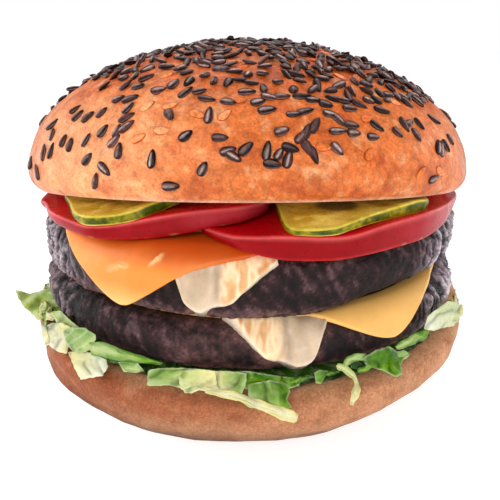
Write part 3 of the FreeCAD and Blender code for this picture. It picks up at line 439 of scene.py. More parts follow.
M_SAUCE = shade("cream_sauce", rough=0.34, spec=0.3, coat=0.2, sss=0.25, sss_radius=(1, 0.7, 0.4), sss_scale=0.002,
                mottles=[("noise", 500, 4, 0.9, 1.07)], bumps=[("noise", 700, 3, 0.14, 0.0005)], rough_by=("noise", 600, 3, 0.22, 0.4))
M_TOMATO = shade("tomato_slice", rough=0.36, spec=0.12, sss=0.2, sss_radius=(1, 0.12, 0.08), sss_scale=0.003,
                 mottles=[("noise", 260, 4, 0.9, 1.08)], bumps=[("noise", 900, 3, 0.06, 0.0003)], rough_by=("noise", 600, 3, 0.24, 0.4))
M_PICKLE = shade("pickle_slice", rough=0.34, spec=0.18, coat=0.0, sss=0.2, sss_radius=(0.7, 1, 0.25), sss_scale=0.002,
                 mottles=[("noise", 420, 4, 0.84, 1.12), ("noise", 1500, 3, 0.9, 1.08)], bumps=[("noise", 700, 3, 0.15, 0.0004)],
                 rough_by=("noise", 600, 3, 0.22, 0.42))
M_LEAF = shade("lettuce_leaf", rough=0.28, spec=0.24, coat=0.06, coat_rough=0.12, thin=0.32,
               mottles=[("noise", 600, 4, 0.93, 1.06)], bumps=[("noise", 700, 3, 0.12, 0.0004), ("noise", 2400, 2, 0.08, 0.0001)],
               rough_by=("noise", 700, 3, 0.2, 0.38))

# ================================================================ camera and light
cam_data = bpy.data.cameras.new("camera")
cam_data.sensor_width = 36.0
cam_data.lens = 36.0 * FOCAL / 500.0
cam_data.shift_y = -13.3 / 500.0
cam_data.clip_start = 0.005
cam_data.clip_end = 50.0
camera = bpy.data.objects.new("camera", cam_data)
camera.location = (0.0, -0.165, 0.09806)
camera.rotation_euler = (math.pi / 2 - PITCH, 0, 0)
SCENE.collection.objects.link(camera)
SCENE.camera = camera
SCENE.view_settings.view_transform = "Standard"
SCENE.view_settings.look = "None"


def softbox(name, place, target, size, power, tint=(1, 1, 1)):
    li = bpy.data.lights.new(name, "AREA")
    li.shape = "RECTANGLE"
    li.size, li.size_y = size
    li.energy = power
    li.color = tint
    ob = bpy.data.objects.new(name, li)
    ob.location = place
    ob.rotation_euler = (Vector(target) - Vector(place)).to_track_quat("-Z", "Y").to_euler()
    ob.visible_camera = False
    SCENE.collection.objects.link(ob)


softbox("key_front", (-0.26, -0.88, 0.6), (0, 0, 0.045), (0.7, 0.5), 3.8, (1, 0.985, 0.96))
softbox("side_left", (-0.75, -0.12, 0.26), (0, 0, 0.045), (0.25, 0.6), 2.2)
softbox("side_right", (0.75, -0.16, 0.28), (0, 0, 0.045), (0.13, 0.6), 0.48)
softbox("low_right", (0.46, -0.75, 0.1), (0, 0, 0.03), (0.5, 0.2), 1.9)
softbox("strip_left", (-0.62, 0.32, 0.17), (0, 0, 0.04), (0.12, 0.45), 0.75)
softbox("strip_right", (0.62, 0.32, 0.17), (0, 0, 0.04), (0.12, 0.45), 0.62)
softbox("top_back", (0.05, 0.5, 0.9), (0, 0, 0.05), (0.7, 0.4), 2.4)
world = bpy.data.worlds.new("world")
SCENE.world = world
world.use_nodes = True
_sky = world.node_tree.nodes["Background"]
_sky.inputs[0].default_value = (1.0, 1.0, 1.0, 1)
_sky.inputs[1].default_value = 0.45
_plain = world.node_tree.nodes.new("ShaderNodeBackground")
_plain.inputs[0].default_value = (1.0, 1.0, 1.0, 1)
_plain.inputs[1].default_value = 1.0
_ray = world.node_tree.nodes.new("ShaderNodeLightPath")
_pick = world.node_tree.nodes.new("ShaderNodeMixShader")
world.node_tree.links.new(_ray.outputs["Is Camera Ray"], _pick.inputs[0])
world.node_tree.links.new(_sky.outputs[0], _pick.inputs[1])
world.node_tree.links.new(_plain.outputs[0], _pick.inputs[2])
world.node_tree.links.new(_pick.outputs[0], world.node_tree.nodes["World Output"].inputs[0])

M_FLOOR = shade("floor_paper", rough=0.9, spec=0.05, colour=(0.5, 0.5, 0.5), mottles=[("noise", 3, 2, 0.995, 1.005)])
_paper = next(q for q in M_FLOOR.node_tree.nodes if q.type == "BSDF_PRINCIPLED")
_paper.inputs["Emission Color"].default_value = (1, 1, 1, 1)
_paper.inputs["Emission Strength"].default_value = 0.78
disc = [(0.0, 0.0, 0.0)] + [(r * math.cos(t), r * math.sin(t), 0.0) for r in (250.0, 900.0, 3000.0) for t in np.linspace(0, 2 * math.pi, 97)[:-1]]
disc_f = [(0, 1 + k, 1 + (k + 1) % 96) for k in range(96)]
disc_f += [(1 + j * 96 + k, 97 + j * 96 + k, 97 + j * 96 + (k + 1) % 96, 1 + j * 96 + (k + 1) % 96) for j in (0, 1) for k in range(96)]
floor = new_object("floor", disc, disc_f, M_FLOOR)
floor.data.polygons.foreach_set("use_smooth", [True] * len(floor.data.polygons))

# ================================================================ bottom bun
NA = 384
PHI = np.linspace(0, 2 * np.pi, NA, endpoint=False)


def bun_low_profile():
    t = np.radians(np.linspace(-85.0, 0, 46))
    low = np.stack([35 + 27.4 * np.cos(t), 20.4 + 19.2 * np.sin(t)], 1)
    t = np.radians(np.linspace(0, 90, 16))[1:]
    lip = np.stack([57.6 + 4.8 * np.cos(t), 20.4 + 3.3 * np.sin(t)], 1)
    flat = np.stack([np.linspace(57.0, 50.8, 8), np.full(8, 23.55)], 1)
    hole = np.array([[50.75, 22.6], [50.75, 21.5]])
    ledge = np.stack([np.linspace(52, 58.2, 4), np.full(4, 21.3)], 1)
    t = np.radians(np.linspace(-4, -88, 22))
    inner = np.stack([35 + 24.7 * np.cos(t), 20.4 + 16.5 * np.sin(t)], 1)
    foot = np.array([[35.15, 3.8], [35.15, 2.35], [37.2, 2.35], [37.2, 1.4]])
    return np.vstack([low, lip, flat, hole, ledge, inner, foot]), len(low) + len(lip)


prof, n_out = bun_low_profile()
tang = np.roll(prof, -1, 0) - np.roll(prof, 1, 0)
nrm = np.stack([tang[:, 1], -tang[:, 0]], 1)
nrm /= np.linalg.norm(nrm, axis=1)[:, None]
keep = np.zeros(len(prof))
keep[:n_out] = smooth(2.2, 6.5, prof[:n_out, 1])
keep[n_out:n_out + 8] = 0.25
rr = np.repeat(prof[None, :, 0], NA, 0)
zz = np.repeat(prof[None, :, 1], NA, 0)
cx, cy = np.sin(PHI)[:, None], -np.cos(PHI)[:, None]
base_p = np.stack([rr * cx, rr * cy, zz], -1).reshape(-1, 3)
lump = (0.75 * fbm(base_p / 24, 3, 3) + 0.22 * fbm(base_p / 7, 9, 3) + 0.07 * fbm(base_p / 2.2, 21, 2)).reshape(NA, -1)
lump *= keep[None, :]
rise = np.zeros_like(lump)
side = np.exp(-(((np.degrees(PHI) - 84 + 180) % 360 - 180) / 30.0) ** 2)[:, None]
rise += 2.6 * side * smooth(19.0, 23.6, zz) * (keep[None, :] > 0.3)
turn = (np.degrees(PHI) + 180) % 360 - 180
lean = (2.9 * np.exp(-((turn + 62) / 42.0) ** 2) - 1.5 * np.exp(-((turn - 40) / 32.0) ** 2))[:, None] * smooth(1.6, 5.5, zz) * smooth(17.0, 10.0, zz)
lean[:, n_out:] = 0.0
rr2 = rr + lump * nrm[None, :, 0] - 0.25 * rise * 0.3 + lean
zz2 = zz + lump * nrm[None, :, 1] + rise
heel_v = np.stack([rr2 * cx, rr2 * cy, zz2], -1).reshape(-1, 3)
heel = new_object("heel_bun", heel_v, grid_faces(NA, len(prof), True, True), M_HEEL)
tidy(heel)
carve(heel, [box_solid(-6.85, 6.85, 48.0, 75.0, 9.45, 22.05)])


def heel_colour(p):
    r = np.hypot(p[:, 0], p[:, 1])
    n = fbm(p / 16, 31, 4)
    n2 = fbm(p / 5, 33, 3)
    left = smooth(40, -60, p[:, 0] + 22 * n)
    front = smooth(-10, -55, p[:, 1])
    n3 = fbm(p / 1.8, 37, 3)
    # painted shade: the crust is darker and redder towards the left front
    c = mix(lin(200, 138, 98), lin(156, 78, 46), left * (0.35 + 0.65 * front))
    # lighter random blotches, and lighter towards the right: painted light
    c = mix(c, lin(222, 164, 126), smooth(0.05, 0.6, n2 + 0.4 * n3) * 0.35 + 0.35 * smooth(-10, 60, p[:, 0]) * smooth(8, 20, p[:, 2]))
    # pale band across the middle of the front: painted sheen
    c = mix(c, lin(214, 166, 126), np.exp(-((p[:, 0] + 14 - 10 * n) / 22.0) ** 2) * smooth(19, 13, p[:, 2]) * smooth(5, 9, p[:, 2]) * front * 0.55)
    # painted shade: dark brown towards the bottom
    c = mix(c, lin(70, 24, 11), smooth(17.0, 5.0, p[:, 2] + 2.5 * n) * 0.94)
    c = mix(c, lin(136, 64, 40), smooth(0.1, 0.6, -n2 + 0.3 * n - 0.3 * n3) * 0.4)
    # painted shade: the whole crust dims towards the bottom
    c = c * (0.36 + 0.46 * smooth(4.0, 15.0, p[:, 2]))[:, None]
    top = smooth(21.8, 23.4, p[:, 2]) * smooth(61.5, 58.5, r)
    c = mix(c, lin(196, 150, 108), top * 0.7)
    inside = (r < 57.5) & (p[:, 2] < 23.2) & (p[:, 2] > 3.2)
    return np.where(inside[:, None], lin(150, 100, 64), c)


paint(heel, heel_colour(coords(heel)))
done(heel, "base", ["bottom_bun"], sharp=50)


# ================================================================ patties
def window_radius(phi, x_half, y_front, y_rear, corner):
    """Distance from the axis to a rounded rectangle, along each direction."""
    dx, dy = np.sin(phi), -np.cos(phi)
    lo, hi = np.zeros(len(phi)), np.full(len(phi), 90.0)
    mx, my = 0.0, (y_front + y_rear) / 2
    hx, hy = x_half - corner, (y_rear - y_front) / 2 - corner
    for _ in range(40):
        t = (lo + hi) / 2
        qx, qy = np.abs(t * dx - mx) - hx, np.abs(t * dy - my) - hy
        out = np.hypot(np.maximum(qx, 0), np.maximum(qy, 0)) + np.minimum(np.maximum(qx, qy), 0) - corner
        hi = np.where(out > 0, t, hi)
        lo = np.where(out > 0, lo, t)
    return (lo + hi) / 2


def crag(p, R, seed):
    """Sharp ridges that run up and down a patty's side, 0 to 1; the same at any depth."""
    a = np.arctan2(p[:, 0], -p[:, 1])
    q = np.stack([R * np.sin(a), -R * np.cos(a), p[:, 2]], -1)
    q = q + 1.5 * np.stack([fbm(q / 5, seed + 70, 2), fbm(q / 5, seed + 73, 2), fbm(q / 5, seed + 76, 2)], 1)
    return np.clip(1 - np.abs(fbm(q / np.array([2.9, 2.9, 13.0]), seed + 79, 2)) / 0.3, 0, 1) ** 1.6


# the last argument weights the painted sheen and glints on the left and right ends
def patty(name, node, R, z0, z1, seed, hole, cutters=(), low_round=lambda g: 5.0 + 0 * g, lifted=lambda g: 0 * g, pale=0.0, gloss=(1.0, 1.0)):
    na = 720
    phi = np.linspace(0, 2 * np.pi, na, endpoint=False)
    c = R - 5.0
    a = np.radians(np.linspace(-90, 0, 22))
    rl = low_round(np.degrees(phi))[:, None]
    cl = R - rl
    zb = z0 + lifted(np.degrees(phi))[:, None]
    low_r, low_z = cl + rl * np.cos(a)[None], zb + rl + rl * np.sin(a)[None]
    n_side = max(3, int((z1 - z0 - 8) / 0.5))
    wall_r = np.full((na, n_side), R)
    wall_z = zb + rl + (z1 - 5 - zb - rl) * np.linspace(0, 1, n_side + 2)[None, 1:-1]
    a = np.radians(np.linspace(0, 90, 22))
    high = np.stack([c + 5 * np.cos(a), z1 - 5 + 5 * np.sin(a)], 1)
    n_out = len(a) * 2 + n_side
    n_top = 16 if hole is not None else 5
    inner_r = np.full(na, 50.75) if hole is None else window_radius(phi, *hole)
    s = np.linspace(0, 1, n_top + 1)[1:]
    outer_r = np.hstack([low_r, wall_r, np.repeat(high[None, :, 0], na, 0)])
    outer_z = np.hstack([low_z, wall_z, np.repeat(high[None, :, 1], na, 0)])
    rows_r = [outer_r, c + (inner_r[:, None] - c) * s[None, :]]
    rows_z = [outer_z, np.full((na, n_top), z1)]
    if hole is None:
        back_r = np.full((na, 3), 50.75)
        back_z = np.repeat(np.linspace(z1 - 1.2, z0 + 1.2, 3)[None], na, 0)
    else:
        s = np.linspace(0, 1, 6)
        back_r = np.hstack([inner_r[:, None] + (50.75 - inner_r[:, None]) * s[None, :], np.full((na, 3), 50.75)])
        back_z = np.hstack([np.full((na, 6), z1 - 2.35), np.repeat(np.linspace(z1 - 5, z0 + 1.2, 3)[None], na, 0)])
    bottom_r = 50.75 + (cl - 0.3 - 50.75) * np.linspace(0, 1, 4)[None]
    bottom_z = zb + np.zeros((1, 4))
    rr = np.hstack(rows_r + [back_r, bottom_r])
    zz = np.hstack(rows_z + [back_z, bottom_z])
    m = rr.shape[1]
    cx, cy = np.sin(phi)[:, None], -np.cos(phi)[:, None]
    flat = np.stack([rr * cx, rr * cy, zz], -1).reshape(-1, 3)
    deg = np.abs((np.degrees(phi) + 180) % 360 - 180)
    rugged = 0.36 + 0.44 * smooth(34, 62, deg)
    f1, f2, _ = worley(flat / np.array([3.4, 3.4, 2.8]), seed)
    bed = 0.7 * fbm(flat / 15, seed, 3)
    crumb = 0.75 * (0.5 - f1)
    warp = flat + 1.3 * np.stack([fbm(flat / 6, seed + 20, 2), fbm(flat / 6, seed + 23, 2), fbm(flat / 6, seed + 26, 2)], 1)
    ridge = 1.15 * (0.28 - np.abs(fbm(warp / np.array([3.4, 3.4, 7.5]), seed + 8, 3)))
    fine = 0.22 * fbm(flat / np.array([1.1, 1.1, 1.8]), seed + 12, 3)
    d = (bed + fine).reshape(na, m) + (crumb + ridge).reshape(na, m) * rugged[:, None]
    d += (1.15 * crag(flat, R, seed) - 0.45).reshape(na, m) * smooth(34, 54, deg)[:, None]
    w = np.zeros(m)
    w[:n_out] = 1.0
    w[n_out:n_out + n_top] = 0.35
    w[n_out - 8:n_out] = np.linspace(1, 0.45, 8)
    d = np.clip(d * w[None, :], -1.7, 1.0)
    d[:, n_out:] = np.minimum(d[:, n_out:], 0.0)
    nr = np.zeros(m)
    nz = np.zeros(m)
    al = np.radians(np.linspace(-90, 0, 22))
    nr[:22], nz[:22] = np.cos(al), np.sin(al)
    nr[22:22 + n_side] = 1.0
    nr[22 + n_side:n_out], nz[22 + n_side:n_out] = np.cos(al[::-1]), -np.sin(al[::-1])
    nz[n_out:n_out + n_top] = 1.0
    v = np.stack([(rr + d * nr) * cx, (rr + d * nr) * cy, zz + d * nz], -1).reshape(-1, 3)
    ob = new_object(name, v, grid_faces(na, m, True, True), M_PATTY)
    tidy(ob)
    if cutters:
        carve(ob, cutters)
    p = coords(ob)
    n1 = fbm(p / np.array([13, 13, 8]), seed + 40, 4)
    n2 = fbm(p / np.array([1.5, 1.5, 3.2]), seed + 44, 3)
    n3 = fbm(p / 0.9, seed + 48, 2)
    ang = np.abs(np.degrees(np.arctan2(p[:, 0], -p[:, 1])))
    r = np.hypot(p[:, 0], p[:, 1])
    tt = R * np.arctan2(p[:, 0], -p[:, 1])
    fib = fbm(np.stack([(0.85 * tt + 0.5 * p[:, 2]) / 1.5, (0.85 * p[:, 2] - 0.5 * tt) / 5.5, r / 4.0], 1), seed + 52, 3)
    ends = smooth(38, 54, ang)
    shine = np.where(p[:, 0] < 0, gloss[0], gloss[1])
    up = np.maximum(np.abs(p[:, 2] - (z0 + z1) / 2) - ((z1 - z0) / 2 - 5), 0)
    dev = np.where(r > c, np.hypot(r - c, up) - 5, 0.0)
    lit = smooth(-0.6, 0.9, dev * 0.8 + 0.5 * n1 + 0.35 * n2 + 0.95 * fib + 0.3 * n3)
    c_ = mix(lin(8, 2, 4), lin(42, 18, 21), smooth(0, 0.6, lit))
    c_ = mix(c_, lin(112, 82, 86), smooth(0.5, 1.0, lit) * (0.56 + 0.19 * ends))
    c_ = mix(c_, lin(118, 80, 76), pale * smooth(26, 8, ang) * smooth(-0.5, 0.5, n1 + 0.4 * n2))
    cg = crag(p, R, seed)
    # painted shade in the valleys between the ridges on the ends
    c_ = mix(c_, lin(14, 8, 11), smooth(0.35, 0.05, cg) * ends * 0.7)
    # painted sheen: pale streaks on the ridges of the ends
    c_ = mix(c_, lin(184, 166, 178), smooth(0.3 - 0.3 * shine, 0.9 - 0.3 * shine, cg + 0.3 * n2) * ends * smooth(86, 68, ang) * smooth(R - 4.5, R - 2.2, r) * (0.12 + 0.46 * shine))
    # mask and colour for painted glints: near-white streaks on the ridge tops of the outer wall
    side = shine * smooth(R - 4.5, R - 2.2, r) * smooth(z1 - 0.4, z1 - 2.6, p[:, 2])
    c_ = mix(c_, lin(230, 219, 226), smooth(0.5, 0.9, cg + 0.35 * n2) * smooth(44, 55, ang) * smooth(80, 68, ang) * 0.8 * side)
    # painted highlight: a light brown line along the lower edge
    edge = smooth(z0 + 3.6, z0 + 0.9, p[:, 2]) * smooth(-0.4, 0.3, n2 + n1)
    c_ = mix(c_, lin(122, 88, 74), edge * 0.6)
    paint(ob, c_, 0.1 + 0.9 * ends * smooth(112, 90, ang) * smooth(-0.7, 0.3, n1 + n2) + 0.3 * smooth(0, 0.6, n1))
    return done(ob, "base", [node])


HINGE_ROOM = [box_solid(-18.35, 18.35, 45.9, 75, 41.4, 60), rod_solid("x", 4.3, -19.2, 19.2, 62.0, 53.8)]
patty("patty_low", "lower_patty", 58.0, 26.45, 37.6, 60, None, pale=0.75, gloss=(0.08, 1.0))
patty("patty_top", "upper_patty", 57.0, 39.2, 53.6, 90, (23.0, -42.2, 16.5, 1.5),
      HINGE_ROOM + [rod_solid("z", 2.6, 40, 60, 35.0, 14.0, 32)],
      lambda g: 3.4 + 2.3 * smooth(0, 36, g) * smooth(200, 130, g), lambda g: 2.3 * smooth(8, 46, g) * smooth(150, 100, g), gloss=(0.5, 0.75))


# ================================================================ draped cheese and sauce
def drape(rho, R, z_top, off):
    """Place and outward direction on a patty's skin, off mm away, at unrolled distance rho from the axis."""
    c = R - 5.0
    rc = 5.0 + off
    a = np.clip((rho - c) / rc, 0, np.pi / 2)
    down = np.maximum(0, rho - c - rc * np.pi / 2)
    r = np.where(rho < c, rho, c + rc * np.sin(a))
    z = np.where(rho < c, z_top + off, z_top - 5 + rc * np.cos(a) - down)
    return r, z, np.sin(a), np.cos(a)


def off_skin(R, z_top, off):
    def f(p):
        r = np.hypot(p[:, 0], p[:, 1])
        c = R - 5.0
        up = p[:, 2] - (z_top - 5)
        rnd = np.hypot(r - c, np.maximum(up, 0)) - (5 + off)
        return np.where(r < c, p[:, 2] - (z_top + off), np.where(up > 0, rnd, r - (R + off)))
    return f


def unroll(p, R, z_top, off):
    """(angle in degrees, unrolled distance) of a point on the skin."""
    r = math.hypot(p[0], p[1])
    c, rc = R - 5.0, 5.0 + off
    up = p[2] - (z_top - 5)
    if r < c:
        rho = r
    elif up > 0:
        rho = c + rc * math.atan2(r - c, up)
    else:
        rho = c + rc * math.pi / 2 - up
    return math.degrees(math.atan2(p[0], -p[1])), rho


def traced(pixels, R, z_top, off):
    rows = []
    for px, py in pixels:
        p = strike(px, py, off_skin(R, z_top, off))
        if p is not None:
            rows.append(unroll(p, R, z_top, off))
    return rows


def traced_flap(pixels, R, z_top, off, flare):
    """As traced, for a corner that stands further off the skin towards its tip."""
    rows = []
    for px, py in pixels:
        o = off
        for _ in range(4):
            p = strike(px, py, off_skin(R, z_top, o))
            g, rho = unroll(p, R, z_top, o)
            o = off + flare * float(smooth(R + 1.0, R + 14.0, rho))
        rows.append((g, rho))
    return rows


def flap_edge(phi_deg, rows, plain):
    """Outer edge of a slice: the traced corner where there is one, else plain."""
    rows = sorted(rows)
    a = np.array([q[0] for q in rows])
    b = np.array([q[1] for q in rows])
    d = (phi_deg + 180) % 360 - 180
    inside = np.interp(d, a, b, left=-1, right=-1)
    ease = np.minimum(smooth(a[0] - 9, a[0], d), smooth(a[-1] + 9, a[-1], d))
    ends = np.where(d < a[0], b[0], b[-1])
    val = np.where(inside > 0, inside, plain + (ends - plain) * ease)
    return np.maximum(val, plain)


def square_corner(phi_deg, at, reach, plain):
    d = np.radians((phi_deg - at + 180) % 360 - 180)
    v = reach / (np.cos(d) + np.abs(np.sin(d)) * 1.0)
    return np.where(np.abs(d) < 1.2, np.maximum(v, plain), plain)


def soften(v, n):
    k = np.ones(2 * n + 1) / (2 * n + 1)
    return np.convolve(np.concatenate([v[-n:], v, v[:n]]), k, "valid")


def slice_sheet(name, node, R, z_top, thick, inner, outer, gap, seed, colour, cutters=(), creases=(), flare=0.0):
    na, ns = len(inner), 54
    phi = np.linspace(0, 2 * np.pi, na, endpoint=False)
    e = thick * 0.5
    u = np.linspace(0, 1, ns)
    u = 0.5 - 0.5 * np.cos(np.pi * u) if False else u
    near = np.array([0.0, 0.06, 0.18, 0.36, 0.62, 1.0])
    width = np.maximum(outer - inner, 3 * e)
    dist = []
    for w_ in (width,):
        lead = near[None, :] * e + 0 * w_[:, None]
        tail = w_[:, None] - near[::-1][None, :] * e
        mid = e + (w_[:, None] - 2 * e) * np.linspace(0, 1, ns)[None, 1:-1]
        dist.append(np.hstack([lead, mid, tail]))
    dist = dist[0]
    to_edge = np.minimum(dist, width[:, None] - dist)
    half = e * np.sqrt(np.clip(1 - (1 - np.clip(to_edge / e, 0, 1)) ** 2, 0, 1))
    rho = inner[:, None] + dist
    deg = np.degrees(phi)[:, None]
    q = np.stack([rho * np.sin(phi)[:, None], -rho * np.cos(phi)[:, None], 0 * rho], -1).reshape(-1, 3)
    wave = (0.22 * fbm(q / 16, seed, 2) + 0.10 * fbm(q / 5, seed + 3, 2)).reshape(rho.shape)
    over = smooth(R - 6, R + 8, rho)
    lift = gap + e + (0.25 + wave) * (0.4 + 0.6 * over) + 0.35 * over
    lift = lift + flare * smooth(R + 1.0, R + 14.0, rho)
    for a_, b_, c_, w_, h_ in creases:
        along = (deg - a_[0]) * (b_[0] - a_[0]) + (rho - a_[1]) * (b_[1] - a_[1])
        ln2 = (b_[0] - a_[0]) ** 2 + (b_[1] - a_[1]) ** 2
        k_ = np.clip(along / ln2, 0, 1)
        dd = np.hypot(deg - a_[0] - k_ * (b_[0] - a_[0]), rho - a_[1] - k_ * (b_[1] - a_[1]))
        lift = lift + h_ * np.exp(-(dd / w_) ** 2)
    r, z, nr, nz = drape(rho, R, z_top, lift)
    cx, cy = np.sin(phi)[:, None], -np.cos(phi)[:, None]
    up = np.stack([(r + half * nr) * cx, (r + half * nr) * cy, z + half * nz], -1)
    lo = np.stack([(r - half * nr) * cx, (r - half * nr) * cy, z - half * nz], -1)
    loop = np.concatenate([up, lo[:, -2:0:-1]], 1)
    ob = new_object(name, loop.reshape(-1, 3), grid_faces(na, loop.shape[1], True, True), M_CHEESE)
    tidy(ob)
    if cutters:
        carve(ob, cutters)
    paint(ob, colour(coords(ob)))
    return done(ob, "base", [node])


NC = 900
PHC = np.linspace(0, 2 * np.pi, NC, endpoint=False)
DEG = np.degrees(PHC)
UP_FLAP = [(67.5, 232.8), (72, 247), (81.2, 263.4), (93.5, 279.5), (105.7, 292.5), (116.4, 301.2), (122.6, 303.6), (130.2, 302),
           (142.5, 295.6), (153.2, 288.7), (173, 276.4), (188.4, 268.8), (203.7, 263.9), (223.6, 259.3), (245, 255.6)]
UP_CREASES = [[(109, 269), (121, 264.5)], [(121, 264.5), (126, 266)], [(151, 263), (158, 258)], [(158, 258), (162, 253)]]
LOW_FLAP = [(308.2, 311.6), (327.9, 316.7), (347.7, 324), (367.5, 331), (383.3, 334.9), (391.2, 335.5), (399.1, 332.5), (409, 321),
            (416.9, 307.2), (424.8, 289.4), (430.7, 269.7), (433.7, 260.8)]
plain = 51.5 + 0.8 * np.sin(3 * PHC + 0.5) + 0.5 * np.sin(7 * PHC)
up_outer = soften(flap_edge(DEG, traced_flap(UP_FLAP, 57.0, 53.6, 1.9, 1.0), plain), 3)
bez = window_radius(PHC, 25.25, -44.45, 18.75, 4.2)
up_outer = np.maximum(up_outer, bez + 2.5)


def up_cheese_colour(p):
    n = fbm(p / 9, 71, 3)
    t = smooth(55.0, 49.5, p[:, 2] + 1.2 * n)
    front = smooth(-20, -50, p[:, 1])
    # painted shadow: dark orange along the top at the front, under the tomato; it eases towards the tip, on the left
    # and away from the front
    c = mix(lin(198, 78, 15), lin(249, 147, 62), t)
    c = mix(c, lin(254, 202, 124), smooth(47.0, 40.5, p[:, 2] + 0.8 * n))
    c = mix(c, lin(254, 172, 86), smooth(-28, -46, p[:, 0]) * smooth(57.0, 54.5, p[:, 2]) * 0.7)
    c = mix(lin(246, 150, 58), c, front) * (1 + 0.03 * n[:, None])
    # painted highlight along the crease ridges
    for q in UP_CREASES:
        a, b = (strike(px, py, off_skin(57.0, 53.6, 2.4)) for px, py in q)
        k = np.clip((p - a) @ (b - a) / ((b - a) @ (b - a)), 0, 1)
        c = mix(c, lin(255, 226, 158), np.exp(-(np.linalg.norm(p - a - k[:, None] * (b - a), axis=1) / 0.5) ** 2) * 0.6)
    return c


def low_cheese_colour(p):
    n = fbm(p / 9, 75, 3)
    t = smooth(38.5, 31.0, p[:, 2] + 1.2 * n)
    c = mix(lin(255, 194, 108), lin(255, 188, 106), t)
    return c * (1 + 0.03 * n[:, None])


slice_sheet("cheese_top", "upper_cheese", 57.0, 53.6, 1.5, bez, up_outer, 0.14, 5, up_cheese_colour,
            [rod_solid("z", 2.9, 50, 60, 35.0, 14.0, 32)] + HINGE_ROOM,
            [tuple((q[0] % 360, q[1]) for q in traced(c, 57.0, 53.6, 1.9)) + (0, 0.5, 0.4) for c in UP_CREASES], 1.0)
low_plain = 53.2 + 0.5 * np.sin(5 * PHC)
low_outer = flap_edge(DEG, traced_flap(LOW_FLAP, 58.0, 37.6, 1.9, 2.4), low_plain)
low_outer = np.maximum(low_outer, square_corner(DEG, 126, 65.0, low_plain))
low_outer = np.maximum(low_outer, square_corner(DEG, 216, 66.5, low_plain))
low_outer = soften(low_outer, 4)
slice_sheet("cheese_low", "lower_cheese", 58.0, 37.6, 1.35, np.full(NC, 50.8), low_outer, 0.14, 15, low_cheese_colour, flare=2.4)


def sauce(name, node, R, z_top, rows, seed, cream_left, raised):
    rows = sorted(rows)
    a = np.array([q[0] for q in rows])
    b = np.array([q[1] for q in rows])
    n, m = 110, 46
    phi = np.linspace(a[0], a[-1], n)
    low = np.interp(phi, a, b)
    k = np.ones(5) / 5
    low = np.convolve(np.pad(low, 2, mode="edge"), k, "valid")
    top = np.full(n, R - 5.0 + (-1.5 if raised else 2.2))
    low = np.maximum(low, top + 0.6)
    u = np.linspace(0, 1, m)
    rho = top[:, None] + (low - top)[:, None] * u[None, :]
    q = np.stack([np.repeat(phi[:, None], m, 1) * R * np.pi / 180, rho, 0 * rho], -1).reshape(-1, 3)
    across = (phi - a[0]) / (a[-1] - a[0])
    if cream_left:
        amber = smooth(0.38, 0.55, across)
    else:
        amber = smooth(0.62, 0.45, across)
    fold = (np.abs(fbm(q / np.array([2.6, 6.0, 1]) + 3, seed, 3))).reshape(n, m)
    swell = fbm(q / np.array([5, 9, 1]), seed + 2, 2).reshape(n, m)
    body = 0.75 + 0.45 * swell + amber[:, None] * (0.75 * (0.45 - fold))
    mid = np.exp(-((across - (0.42 if cream_left else 0.58)) / 0.035) ** 2)[:, None]
    body = body - 0.45 * mid * smooth(0.1, 0.6, u)[None, :]
    body = body + 0.55 * smooth(0.55, 0.92, u)[None, :]
    edge_u = np.sqrt(np.clip(1 - (1 - np.clip((1 - u) * (low - top)[:, None] / 1.3, 0, 1)) ** 2, 0, 1))
    edge_s = np.minimum(across, 1 - across) * (a[-1] - a[0]) * R * np.pi / 180
    edge_s = np.sqrt(np.clip(1 - (1 - np.clip(edge_s / 1.1, 0, 1)) ** 2, 0, 1))[:, None]
    t = np.maximum(body, 0.25) * edge_u * edge_s + 0.02
    r0, z0, nr, nz = drape(rho, R, z_top, -0.75)
    r1, z1, nr, nz = drape(rho, R, z_top, 0.25 + raised * smooth(0.74, 0.62, across)[:, None] * smooth(R + 2.0, R - 3.5, rho))
    pr = np.radians(phi)[:, None]
    r1, z1 = r1 + t * nr, z1 + t * nz
    tp = np.stack([r1 * np.sin(pr), -r1 * np.cos(pr), z1], -1)
    bt = np.stack([r0 * np.sin(pr), -r0 * np.cos(pr), z0], -1)
    v = np.concatenate([tp.reshape(-1, 3), bt.reshape(-1, 3)])
    idx = np.arange(n * m).reshape(n, m)
    ring = np.concatenate([idx[:, 0], idx[-1, 1:], idx[-2::-1, -1], idx[0, -2:0:-1]])
    f = list(grid_faces(n, m, False, False)) + list(grid_faces(n, m, False, False, n * m, True))
    f += [(ring[i], ring[(i + 1) % len(ring)], ring[(i + 1) % len(ring)] + n * m, ring[i] + n * m) for i in range(len(ring))]
    ob = new_object(name, v, f, M_SAUCE)
    tidy(ob)
    c = mix(lin(194, 168, 138), lin(216, 192, 164), smooth(-0.4, 0.4, swell))
    warm = mix(lin(224, 172, 116), lin(252, 218, 174), smooth(0.4, 0.05, fold))
    c = mix(c, warm, np.repeat(amber[:, None], m, 1))
    # painted shade along the groove between the cream and amber halves
    c = mix(c, lin(138, 118, 96), (mid * smooth(0.0, 0.35, u)[None, :] * smooth(1.0, 0.6, u)[None, :]) * 0.5)
    # painted highlight along the raised lower edge
    c = mix(c, lin(248, 230, 210), np.repeat(smooth(0.86, 0.97, u)[None, :], n, 0) * 0.7)
    c = c.reshape(-1, 3)
    # the underside is a darker copy: painted shade
    paint(ob, np.concatenate([c, c * 0.8]))
    return done(ob, "base", [node])


